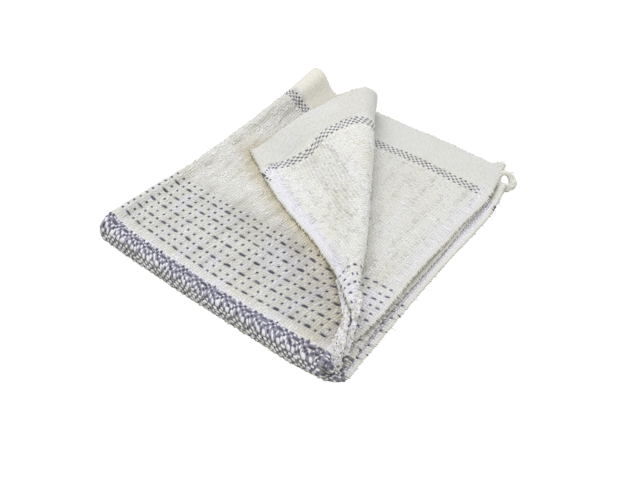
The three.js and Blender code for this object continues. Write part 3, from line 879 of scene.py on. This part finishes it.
def fibres(name, starts, ways, lengths, material, u, v, radius=0.2, rings=5, sides=3, seed=6):
    """Loose fibre ends: short curling hairs from the edges."""
    rng = np.random.default_rng(seed)
    m = len(starts)
    t = np.linspace(0, 1, rings)[None, :, None]
    bend = rng.standard_normal((m, 1, 3)) * 0.45
    curl = rng.standard_normal((m, 1, 3)) * 0.25
    p = starts[:, None] + lengths[:, None, None] * (ways[:, None] * t + bend * t * t + curl * np.sin(3 * t))
    e1 = np.cross(ways, rng.standard_normal((m, 3)))
    e1 /= np.linalg.norm(e1, axis=1, keepdims=True)
    e2 = np.cross(ways, e1)
    ang = np.arange(sides) * 2 * pi / sides
    r = radius * (1 - 0.6 * t) * (0.7 + 0.6 * rng.uniform(0, 1, (m, 1, 1)))
    ring = p[:, :, None] + r[..., None] * (np.cos(ang)[:, None] * e1[:, None, None] + np.sin(ang)[:, None] * e2[:, None, None])
    pts = np.concatenate([p[:, :1], ring.reshape(m, -1, 3), p[:, -1:]], 1).reshape(-1, 3)
    pts[:, 2] = np.maximum(pts[:, 2], 0.05)
    per = rings * sides + 2
    return build(name, pts, tube_faces(m, rings, sides, True), np.repeat(u, per), np.repeat(v, per), 1.0, material,
                 np.repeat(rng.uniform(0.3, 1, m), per), np.full(len(pts), 0.95))


# ---------------------------------------------------------------- materials
def srgb(r, g, b):
    f = lambda c: (c / 255 / 12.92) if c / 255 <= 0.04045 else ((c / 255 + 0.055) / 1.055) ** 2.4
    return (f(r), f(g), f(b), 1.0)


class Nodes:
    def __init__(self, name):
        self.mat = bpy.data.materials.new(name)
        self.mat.use_nodes = True
        self.t = self.mat.node_tree
        self.bsdf = self.t.nodes["Principled BSDF"]

    def new(self, kind, **values):
        n = self.t.nodes.new(kind)
        for k, v in values.items():
            setattr(n, k, v)
        return n

    def link(self, a, b):
        self.t.links.new(a, b)

    def math(self, op, a, b=None, c=None, clamp=False):
        n = self.new("ShaderNodeMath", operation=op, use_clamp=clamp)
        for k, x in enumerate((a, b, c)):
            if x is None:
                continue
            if isinstance(x, (int, float)):
                n.inputs[k].default_value = x
            else:
                self.link(x, n.inputs[k])
        return n.outputs[0]

    def mix(self, fac, a, b):
        n = self.new("ShaderNodeMix", data_type="RGBA")
        for k, x in ((0, fac), (6, a), (7, b)):
            if isinstance(x, (int, float)):
                n.inputs[k].default_value = x
            elif isinstance(x, tuple):
                n.inputs[k].default_value = x
            else:
                self.link(x, n.inputs[k])
        return n.outputs[2]

    def noise(self, vector, scale, detail=3.0, rough=0.55, distortion=0.0):
        n = self.new("ShaderNodeTexNoise")
        n.inputs["Scale"].default_value = scale
        n.inputs["Detail"].default_value = detail
        n.inputs["Roughness"].default_value = rough
        n.inputs["Distortion"].default_value = distortion
        self.link(vector, n.inputs["Vector"])
        return n.outputs["Fac"]

    def ramp(self, x, low, high):
        n = self.new("ShaderNodeMapRange", interpolation_type="SMOOTHSTEP")
        self.link(x, n.inputs["Value"])
        n.inputs["From Min"].default_value = low
        n.inputs["From Max"].default_value = high
        return n.outputs["Result"]


def cloth_coordinates(m):
    """u and v on the cloth in millimetres, from the UV map."""
    uv = m.new("ShaderNodeUVMap", uv_map="UVMap")
    sep = m.new("ShaderNodeSeparateXYZ")
    m.link(uv.outputs["UV"], sep.inputs[0])
    u = m.math("MULTIPLY_ADD", sep.outputs["X"], WIDTH, -WIDTH / 2)
    v = m.math("MULTIPLY_ADD", sep.outputs["Y"], LENGTH, -LENGTH / 2)
    return u, v


def vector(m, x, y, sx=1.0, sy=1.0):
    n = m.new("ShaderNodeCombineXYZ")
    m.link(m.math("MULTIPLY", x, sx), n.inputs["X"])
    m.link(m.math("MULTIPLY", y, sy), n.inputs["Y"])
    return n.outputs[0]


def fabric_base(m, sheen=0.35, rough=0.92):
    b = m.bsdf
    b.inputs["Roughness"].default_value = rough
    b.inputs["Sheen Weight"].default_value = sheen
    b.inputs["Sheen Roughness"].default_value = 0.6
    b.inputs["Specular IOR Level"].default_value = 0.18


CREAM = srgb(229, 229, 226)
WARM = srgb(224, 223, 214)
COOL = srgb(230, 229, 240)
OLIVE_SHADE = srgb(214, 210, 178)
SHADOW = srgb(128, 126, 118)
TAN_SHADE = srgb(226, 213, 180)
CREASE_SHADE = srgb(160, 156, 136)
DIM = srgb(192, 193, 194)
BLUE = srgb(65, 66, 80)
BLUE_LIGHT = srgb(119, 118, 137)


def times(m, colour, fac, by):
    n = m.new("ShaderNodeMix", data_type="RGBA", blend_type="MULTIPLY")
    m.link(fac, n.inputs[0])
    m.link(colour, n.inputs[6])
    n.inputs[7].default_value = by
    return n.outputs[2]


def tinted(m, colour, strength=1.0, crease_shade=0.42):
    """Painted shade: where the shade attribute says little light reaches, the colour turns olive, as light bounced
    between the yarns, then dark; the valleys of the crinkle are painted darker, and the top layer is painted tan shade
    beside the flap's edge."""
    read = lambda name: m.new("ShaderNodeAttribute", attribute_name=name).outputs["Fac"]
    shade = read("shade")
    colour = times(m, colour, m.math("MULTIPLY", m.ramp(shade, 0.88, 0.45), 0.8 * strength), OLIVE_SHADE)
    colour = times(m, colour, m.math("MULTIPLY", m.ramp(shade, 0.55, 0.10), 0.6 * strength), SHADOW)
    colour = times(m, colour, m.math("MULTIPLY", read("flap_shade"), 0.8 * strength), TAN_SHADE)
    colour = times(m, colour, m.math("MULTIPLY", read("dim"), strength), DIM)
    # the pale attribute scales the colour: painted light and shade on the back
    paler = m.new("ShaderNodeVectorMath", operation="SCALE")
    m.link(colour, paler.inputs[0])
    m.link(read("pale"), paler.inputs["Scale"])
    colour = paler.outputs[0]
    return times(m, colour, m.math("MULTIPLY", read("crinkle_shade"), crease_shade), CREASE_SHADE)


def ground_colour(m, u, v, au):
    av = m.math("ABSOLUTE", v)
    patch = m.ramp(m.noise(vector(m, u, v, 0.020, 0.013), 1.0, 3.0, 0.6), 0.40, 0.70)
    colour = m.mix(m.math("MULTIPLY", patch, 0.75), CREAM, WARM)
    patch2 = m.ramp(m.noise(vector(m, u, v, 0.055, 0.018), 1.0, 2.0, 0.5), 0.46, 0.70)
    near_rows = m.math("MULTIPLY_ADD", m.ramp(av, 128.0, 100.0), 0.45, 0.3)
    colour = m.mix(m.math("MULTIPLY", patch2, near_rows), colour, COOL)
    # painted reflected light: the cream in the band's net is painted lavender, as light bounced off the blue yarn
    net = m.math("MULTIPLY", m.ramp(v, 4.5, 8.5), m.ramp(v, 24.0, 19.5))
    colour = m.mix(m.math("MULTIPLY", net, 0.8), colour, COOL)
    mottle = m.ramp(m.noise(vector(m, u, v, 0.42, 0.30), 1.0, 3.0, 0.7), 0.62, 0.36)
    in_header = m.ramp(av, HEADER_FROM - 2, HEADER_FROM + 3)
    far = m.math("MULTIPLY", m.ramp(u, 80.0, 60.0), m.ramp(u, -10.0, 10.0))
    colour = times(m, colour, m.math("MULTIPLY", m.math("MULTIPLY", in_header, m.math("SUBTRACT", 1.0, far)), m.math("MULTIPLY_ADD", mottle, 0.55, 0.3)), srgb(226, 226, 224))
    colour = times(m, colour, m.math("MULTIPLY", far, m.math("MULTIPLY", in_header, m.math("MULTIPLY_ADD", mottle, 0.9, 0.12))), srgb(243, 239, 219))
    # painted highlight: the selvedge band is painted pale lavender, more so on the flap's side
    side = m.math("MULTIPLY", m.ramp(au, 268.0, 274.0), m.math("SUBTRACT", 1.0, m.ramp(au, 284.0, 287.5)))
    side = m.math("MULTIPLY", side, m.math("SUBTRACT", 1.0, in_header))
    colour = m.mix(m.math("MULTIPLY", side, m.math("MULTIPLY_ADD", m.ramp(u, -10.0, 10.0), 0.4, 0.4)), colour, COOL)
    # painted shade: the outermost rim of the selvedge is painted a little olive
    return times(m, colour, m.math("MULTIPLY", m.ramp(au, 285.0, 288.5), 0.15), OLIVE_SHADE)


def sheet_material():
    m = Nodes("undyed cotton weave")
    u, v = cloth_coordinates(m)
    au, av = m.math("ABSOLUTE", u), m.math("ABSOLUTE", v)
    sep = m.new("ShaderNodeSeparateXYZ")
    m.link(m.new("ShaderNodeAttribute", attribute_name="threads").outputs["Vector"], sep.inputs[0])
    i, j, face = sep.outputs["X"], sep.outputs["Y"], sep.outputs["Z"]
    ri, rj = m.math("ROUND", i), m.math("ROUND", j)
    fi, fj = m.math("SUBTRACT", i, ri), m.math("SUBTRACT", j, rj)
    near = lambda x, k, e=0.3: m.math("COMPARE", x, float(k), e)
    inv = lambda x: m.math("SUBTRACT", 1.0, x)
    both = lambda x, y: m.math("MULTIPLY", x, y)
    either = lambda x, y: m.math("MAXIMUM", x, y)

    def fold(x):
        y = m.math("FLOORED_MODULO", m.math("ADD", x, 3.0), 6.0)
        return m.math("ABSOLUTE", m.math("SUBTRACT", y, 3.0))

    a, b = fold(ri), fold(rj)
    a2 = near(a, 2)
    up = both(near(b, 0), inv(a2))
    up = either(up, both(near(b, 1), a2))
    up = either(up, both(near(b, 2), near(a, 1)))
    up = either(up, both(near(b, 3), either(near(a, 0), near(a, 3))))
    aj = m.math("ABSOLUTE", rj)
    lined = either(m.math("GREATER_THAN", aj, LINE_FIRST - 1.5), both(m.math("LESS_THAN", rj, PLAIN_HALF + 0.5), m.math("GREATER_THAN", rj, -BAND_HALF - 0.5)))
    parity = m.math("FLOORED_MODULO", m.math("ADD", ri, rj), 2.0)
    up = m.math("ADD", both(up, inv(lined)), both(m.math("LESS_THAN", parity, 0.5), lined))
    turned = m.math("LESS_THAN", face, 0.0)
    up = m.math("ABSOLUTE", m.math("SUBTRACT", up, turned))
    # picks that are blue
    band = m.math("LESS_THAN", aj, BAND_HALF + 0.5)
    step = m.math("FLOORED_MODULO", aj, 3.0)
    rows = both(m.math("LESS_THAN", step, 0.5), both(m.math("GREATER_THAN", aj, 11.5), m.math("LESS_THAN", aj, 12 + 6 * DASH_ROWS - 2.5)))
    line = both(m.math("GREATER_THAN", aj, LINE_FIRST - 0.5), m.math("LESS_THAN", aj, LINE_FIRST + LINE_PICKS - 0.5))
    line = both(line, m.math("LESS_THAN", au, 276.0))
    blue_row = either(band, either(rows, line))
    # relief of the crossings
    def oval(p, q):
        long = m.math("POWER", m.math("ABSOLUTE", m.math("MULTIPLY", p, 2.0)), 4.0)
        wide = m.math("POWER", m.math("ABSOLUTE", m.math("MULTIPLY", q, 2.0)), 2.0)
        return both(inv(m.math("MULTIPLY", long, 0.8)), inv(wide))
    height = m.math("ADD", both(up, oval(fi, fj)), both(inv(up), oval(fj, fi)))
    head = m.ramp(av, HEADER_FROM - 1, HEADER_FROM + 2)
    fine = both(m.math("SINE", m.math("MULTIPLY", i, pi * 2)), m.math("SINE", m.math("MULTIPLY", j, pi * 2)))
    fine = m.math("MULTIPLY_ADD", fine, 0.4, 0.6)
    height = m.math("ADD", both(height, inv(head)), both(fine, head))
    fuzz = m.noise(vector(m, u, v, 1.0, 1.0), 1.15, 4.0, 0.65)
    total = m.math("ADD", m.math("MULTIPLY", height, 0.5), m.math("MULTIPLY", fuzz, 0.6))
    bump = m.new("ShaderNodeBump")
    bump.inputs["Strength"].default_value = 0.5
    bump.inputs["Distance"].default_value = 0.0008
    m.link(total, bump.inputs["Height"])
    m.link(bump.outputs[0], m.bsdf.inputs["Normal"])
    colour = ground_colour(m, u, v, au)
    # painted shade between the crossings, over a slight darkening all over outside the header
    low = inv(m.ramp(height, 0.0, 0.55))
    gap = m.new("ShaderNodeMix", data_type="RGBA", blend_type="MULTIPLY")
    m.link(both(m.math("MULTIPLY_ADD", low, 0.3, 0.22), m.math("MULTIPLY_ADD", head, -0.75, 1.0)), gap.inputs[0])
    m.link(colour, gap.inputs[6])
    gap.inputs[7].default_value = srgb(180, 178, 166)
    gaps = m.math("ADD", both(band, m.math("MULTIPLY_ADD", m.ramp(rj, 1.5, 4.0), 0.45, m.math("MULTIPLY_ADD", up, 0.30, 0.15))), both(inv(band), m.math("MULTIPLY", up, 0.45)))
    # painted shade: the lower half of the band, under the front fold, is painted darker
    colour = times(m, gap.outputs[2], both(band, inv(m.ramp(rj, 1.5, 4.0))), srgb(176, 174, 168))
    colour = m.mix(both(blue_row, gaps), colour, BLUE_LIGHT)
    colour = m.mix(both(band, m.math("MULTIPLY", m.ramp(rj, 2.0, 3.5), 0.4)), colour, srgb(112, 112, 142))
    m.link(tinted(m, colour), m.bsdf.inputs["Base Color"])
    fabric_base(m)
    return m.mat


def yarn_material(name, dark=None, light=None, bump_scale=1.4, rough=0.9, sheen=0.3, mixed=0.5, tint=0.8):
    m = Nodes(name)
    u, v = cloth_coordinates(m)
    tone = m.new("ShaderNodeAttribute", attribute_name="tone").outputs["Fac"]
    heather = m.noise(vector(m, u, v, 1.0, 1.0), bump_scale, 4.0, 0.7)
    if dark is None:
        au = m.math("ABSOLUTE", u)
        colour = ground_colour(m, u, v, au)
        colour = m.mix(m.math("MULTIPLY", m.ramp(tone, 0.72, 0.95), 0.3), colour, COOL)
        colour = m.mix(m.math("MULTIPLY", m.ramp(tone, 0.30, 0.05), 0.45), colour, WARM)
        bright = m.math("ADD", m.math("MULTIPLY_ADD", heather, 0.24, 0.86), m.math("MULTIPLY", tone, 0.05))
        n = m.new("ShaderNodeVectorMath", operation="SCALE")
        m.link(colour, n.inputs[0])
        m.link(bright, n.inputs["Scale"])
        colour = n.outputs[0]
    else:
        f = m.math("ADD", m.math("MULTIPLY", tone, mixed), m.math("MULTIPLY", m.math("SUBTRACT", heather, 0.5), 1.1), clamp=True)
        colour = m.mix(f, dark, light)
    m.link(tinted(m, colour, tint), m.bsdf.inputs["Base Color"])
    twist = m.math("SINE", m.math("MULTIPLY", m.math("ADD", u, m.math("MULTIPLY", v, 0.9)), 2 * pi / 1.3))
    bump = m.new("ShaderNodeBump")
    bump.inputs["Strength"].default_value = 0.4
    bump.inputs["Distance"].default_value = 0.0004
    m.link(m.math("ADD", m.math("MULTIPLY", twist, 0.3), heather), bump.inputs["Height"])
    m.link(bump.outputs[0], m.bsdf.inputs["Normal"])
    fabric_base(m, sheen, rough)
    return m.mat


cotton = sheet_material()
blue = yarn_material("blue cotton yarn", BLUE, BLUE_LIGHT, tint=0.45, mixed=0.58)
cream_yarn = yarn_material("undyed cotton yarn")

# ---------------------------------------------------------------- the pieces
pieces = []
cloth = sheet_mesh(cotton)
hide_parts("cloth")

for face, label in ((1, "face"), (-1, "back")):
    f = floats_of(face)
    dyed = is_blue(f[:, 1]) & (f[:, 3] == 0)
    u_mid = np.interp(f[:, 0], all_ends, all_places)
    in_line = np.abs(f[:, 1]) >= LINE_FIRST - 1
    in_band = np.abs(f[:, 1]) <= BAND_HALF + 0.5
    dyed &= ~(in_line & (np.abs(u_mid) > 276))
    in_band_all = np.abs(f[:, 1]) <= BAND_HALF + 3
    middle = f[:, 1] <= 2.6
    for warp in (0, 1):
        for short in (1, 0):
            for dye in (0, 1):
                sel = (f[:, 3] == warp) & ((f[:, 2] < 0.6) == bool(short)) & (dyed == bool(dye))
                g = f[sel]
                if len(g) == 0:
                    continue
                piece = pods(
                    f"{'blue' if dye else 'cream'}_{'warp' if warp else 'weft'}_{'dots' if short else 'floats'}_{label}",
                    g[:, 0], g[:, 1], g[:, 2] * (np.where(in_band[sel], 0.95, np.where(g[:, 2] > 0.6, 0.90, 1.12)) if dye else np.where(in_band_all[sel] & (f[sel, 3] == 1), np.where(middle[sel], 0.98, 0.86), 1.0)), bool(warp), face, blue if dye else cream_yarn,
                    rings=3 if short else 5, height=height_of(warp, dye, face, g[:, 1]), curve=0 if warp else 0.12, proud=bool(dye),
                    wide=np.where(in_band_all[sel], np.where(middle[sel], 0.68, 0.45), 0.44) if warp else np.where(in_line[sel], 0.27, np.where(in_band[sel], np.where(middle[sel], 0.42, 0.50), (0.42 if short else 0.47) * (1.0 if face > 0 else 0.82))) if dye else 0.40, seed=100 + warp * 4 + short * 2 + dye + (50 if face < 0 else 0),
                )
                pieces.append(piece)

last_j = int(12 + (LENGTH / 2 - 32.8) / PICK)
edge_js = np.arange(-last_j + 1, last_j)
edge_blue = is_blue(edge_js)
for sign, label in ((1, "right"), (-1, "left")):
    kept = np.random.default_rng(83 + sign).uniform(0, 1, len(edge_js)) < (0.7 if sign > 0 else 0.45)
    few = edge_blue & kept
    pieces.append(turns(f"selvedge_turns_{label}", pick_at(edge_js[~few]), "side", sign, cream_yarn, seed=31 + sign))
    pieces.append(turns(f"selvedge_turns_blue_{label}", pick_at(edge_js[few]), "side", sign, blue, seed=41 + sign, radius=0.85))
    pieces.append(turns(f"hem_threads_{label}", end_place(np.arange(-95, 90), "u"), "hem", sign, cream_yarn, radius=0.55, out=0.35, seed=51 + sign, width=1.6))
# the selvedge of the top layer bunches up below the flap and runs over the front fold
bunched = (
    (72.0, -69.5, 26.0, 2.2, 1.8), (78.5, -74.4, 26.0, 3.4, 2.2), (89.6, -85.2, 25.2, 4.2, 2.6), (101.3, -96.9, 24.6, 4.4, 2.7),
    (110.5, -106.9, 24.0, 4.0, 2.6), (117.5, -116.7, 23.4, 3.3, 2.4), (121.8, -126.8, 22.8, 3.3, 2.4),
    (125.4, -137.1, 22.3, 4.4, 2.6), (128.3, -145.5, 21.0, 5.3, 2.7), (131.0, -151.3, 16.5, 5.6, 2.7),
    (133.8, -155.7, 10.5, 5.2, 2.6), (137.2, -158.7, 5.0, 4.2, 2.3),
)
pieces.append(cord("bunched_selvedge", bunched, cream_yarn, 286.0, (70, -25), rings=220, sides=28, strands=6, twist=0.7, seed=61, lump=1.5))
flecks = np.array([
    (83.7, -76.8, 27.8), (88.4, -78.6, 27.8), (92.9, -80.5, 27.6), (93.0, -90.8, 27.6), (101.5, -93.4, 27.6), (112.2, -103.8, 26.8),
    (107.4, -103.4, 27.0), (118.8, -111.1, 26.2), (127.7, -145.6, 24.0), (128.9, -150.2, 21.0), (134.7, -149.3, 20.5),
    (137.6, -157.4, 12.0), (140.9, -157.5, 9.0), (139.0, -158.8, 6.5), (143.0, -156.5, 5.0),
])


def surface_over(x, y):
    """Height of the highest layer's middle at that place."""
    close = (base[..., 0] - x) ** 2 + (base[..., 1] - y) ** 2 < 2.5**2
    return base[..., 2][close].max()


second = [(x, y, surface_over(x, y) + 1.0 + 0.5 * t, w, t) for x, y, w, t in (
    (112.5, -90.5, 1.2, 0.8), (117.5, -98.5, 2.3, 1.4), (122.7, -109.6, 2.8, 1.7),
    (127.8, -122.2, 2.6, 1.6), (132.0, -135.6, 2.6, 1.6), (134.2, -145.0, 2.2, 1.4),
)]
pieces.append(cord("second_ridge", second, cream_yarn, 286.0, (70, -25), rings=160, sides=20, strands=5, twist=0.6, seed=63, lump=1.3))
path_at = np.concatenate([spline(bunched, 400), spline(second, 200)])
rng = np.random.default_rng(66)
pick = np.concatenate([rng.integers(14, 390, 230), rng.integers(406, 594, 110)])
swing = rng.uniform(-1, 1, 340)
forward = np.gradient(path_at[:, :3], axis=0)[pick]
aside = np.cross(forward, (0.0, 0.0, 1.0))
aside /= np.linalg.norm(aside, axis=1, keepdims=True)
outside = np.cross(aside, forward / np.linalg.norm(forward, axis=1, keepdims=True))
outside *= np.sign(outside[:, 2:3] + 1e-9)
on_cord = path_at[pick, :3] + aside * (path_at[pick, 3] * swing)[:, None] + outside * (path_at[pick, 4] * np.sqrt(1 - 0.8 * swing**2))[:, None]
pieces.append(knots("white_lumps", on_cord, cream_yarn, 286.0, 20.0, long=2.1, thick=1.1, seed=67, lit=(0.35, 1.0)))
tu = np.array([-277.0, -279.5, -281.5, -283.5, -280.5, -282.5, -278.5, -281.0])
tv = np.array([301.0, 298.5, 296.0, 293.5, 300.5, 298.0, 303.5, 291.0])
pieces.append(knots("blue_tangle", place(tu, tv + bow(tu, tv), 1.5 + 0 * tu), blue, -280.0, 298.0, seed=68))
lu = np.array([279.0, 282.5, 285.5, 288.0, 287.5, 285.0])
lv = np.array([302.0, 299.5, 297.0, 292.5, 287.5, 284.0])
pieces.append(knots("blue_loops", place(lu, lv + bow(lu, lv), 1.5 + 0 * lu, -1), blue, 285.0, 293.0, seed=69))
pieces.append(knots("blue_flecks", flecks, blue, 278.0, 20.0, seed=64))
# the lowest layer's corner is rolled into a small eye
rolled = (
    (141.4, 142.3, 3.4, 3.0, 2.2), (136.3, 148.7, 5.6, 3.1, 2.0), (133.9, 155.5, 8.6, 3.0, 1.9), (135.6, 161.4, 10.2, 3.0, 1.9),
    (140.9, 163.3, 9.6, 3.0, 2.0), (146.6, 162.1, 6.9, 3.6, 2.6), (150.7, 157.2, 4.6, 4.3, 3.4), (150.3, 149.8, 3.9, 3.6, 2.8),
    (146.4, 143.0, 3.2, 3.0, 2.2),
)
pieces.append(cord("rolled_corner", rolled, cream_yarn, 285.0, (-348, -330), rings=90, sides=18, seed=71, light=0.85, lump=0.28))

rng = np.random.default_rng(77)
fu = np.concatenate([rng.choice((-1.0, 1.0), 150) * WIDTH / 2, rng.uniform(-WIDTH / 2, WIDTH / 2, 190)])
fv = np.concatenate([rng.uniform(-LENGTH / 2, LENGTH / 2, 150), rng.choice((-1.0, 1.0), 190) * LENGTH / 2])
at_side = np.abs(fu) > WIDTH / 2 - 0.01
edge_at = read_grid(sheet_base, fu, fv)
inner_at = read_grid(sheet_base, np.where(at_side, np.sign(fu) * (WIDTH / 2 - 4), fu), np.where(at_side, fv, np.sign(fv) * (LENGTH / 2 - 4)))
outward = edge_at - inner_at
outward /= np.linalg.norm(outward, axis=1, keepdims=True)
outward += 0.45 * rng.standard_normal(outward.shape)
outward /= np.linalg.norm(outward, axis=1, keepdims=True)
pieces.append(fibres("loose_fibres", edge_at - 0.5 * outward, outward, rng.gamma(2.2, 1.1, len(fu)).clip(0.8, 6.5), cream_yarn, fu, fv))
ends_at = np.array([(142.5, 166.0, 10.0), (124.5, 172.5, 10.5), (149.5, -90.5, 6.0), (131.0, -148.0, 9.0), (122.0, 168.0, 9.0)])
ends_way = np.array([(0.55, 0.83, -0.1), (0.5, 0.85, 0.1), (0.9, -0.3, 0.3), (0.5, -0.8, 0.2), (0.2, 0.9, 0.4)])
pieces.append(fibres("thread_ends", ends_at, ends_way, np.array([9.0, 7.0, 6.0, 5.0, 5.0]), cream_yarn,
                     np.full(5, 285.0), np.full(5, -340.0), radius=0.55, rings=9, sides=6, seed=9))
print("time for the pieces", round(time.perf_counter() - begun, 1))

for p in pieces:
    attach(p, "root")
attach(cloth, "root")

# ---------------------------------------------------------------- floor, light, camera
floor_mesh = bpy.data.meshes.new("floor")
floor_mesh.from_pydata([(-4, -4, -0.0002), (4, -4, -0.0002), (4, 4, -0.0002), (-4, 4, -0.0002)], [], [(0, 1, 2, 3)])
floor = bpy.data.objects.new("floor", floor_mesh)
bpy.context.scene.collection.objects.link(floor)
fm = Nodes("pale floor")
fm.bsdf.inputs["Base Color"].default_value = (0.07, 0.07, 0.07, 1)
fm.bsdf.inputs["Emission Color"].default_value = (1, 1, 1, 1)
fm.bsdf.inputs["Emission Strength"].default_value = 0.97
fm.bsdf.inputs["Roughness"].default_value = 0.9
fm.bsdf.inputs["Specular IOR Level"].default_value = 0.1
floor_mesh.materials.append(fm.mat)
floor.visible_diffuse = False

ABOVE, BELOW = 0.74, 0.32  # how bright the room is over and under the horizon
world = bpy.data.worlds.new("studio")
bpy.context.scene.world = world
world.use_nodes = True
wt = world.node_tree
where = wt.nodes.new("ShaderNodeTexCoord")
parts = wt.nodes.new("ShaderNodeSeparateXYZ")
level = wt.nodes.new("ShaderNodeMapRange")
level.interpolation_type = "SMOOTHSTEP"
for key, value in (("From Min", -0.12), ("From Max", 0.12), ("To Min", BELOW), ("To Max", ABOVE)):
    level.inputs[key].default_value = value
wt.links.new(where.outputs["Generated"], parts.inputs[0])
wt.links.new(parts.outputs["Z"], level.inputs["Value"])
wt.links.new(level.outputs["Result"], wt.nodes["Background"].inputs["Strength"])
wt.nodes["Background"].inputs["Color"].default_value = (1, 1, 1, 1)


def area_light(name, where, target, size, power):
    data = bpy.data.lights.new(name, "AREA")
    data.energy = power
    data.size = size
    obj = bpy.data.objects.new(name, data)
    obj.location = where
    obj.rotation_euler = (Vector(target) - Vector(where)).to_track_quat("-Z", "Y").to_euler()
    bpy.context.scene.collection.objects.link(obj)


area_light("key", (-0.75, 0.5, 1.2), (0, 0, 0), 0.8, 9.5)
area_light("fill", (0.95, -0.45, 0.9), (0, 0, 0), 1.0, 4.5)

camera = bpy.data.objects.new("camera", bpy.data.cameras.new("camera"))
bpy.context.scene.collection.objects.link(camera)
pitch = math.radians(46.953)
ROLL = 0.177
turn = math.radians(126.7625)
heading = (math.cos(turn), math.sin(turn))
camera.location = (0.31912, -0.43602, 0.51509)
look = Vector((heading[0] * math.cos(pitch), heading[1] * math.cos(pitch), -math.sin(pitch)))
camera.rotation_mode = "QUATERNION"
camera.rotation_quaternion = look.to_track_quat("-Z", "Y") @ Quaternion((0, 0, 1), math.radians(ROLL))
camera.data.sensor_width = 36
camera.data.lens = 692.4 / 627 * 36
camera.data.clip_start, camera.data.clip_end = 0.01, 20
bpy.context.scene.camera = camera
bpy.context.scene.view_settings.view_transform = "Standard"

counts = {o.name: sum(len(p.vertices) - 2 for p in o.data.polygons) for o in [cloth, *pieces]}
print("triangles", counts, sum(counts.values()))
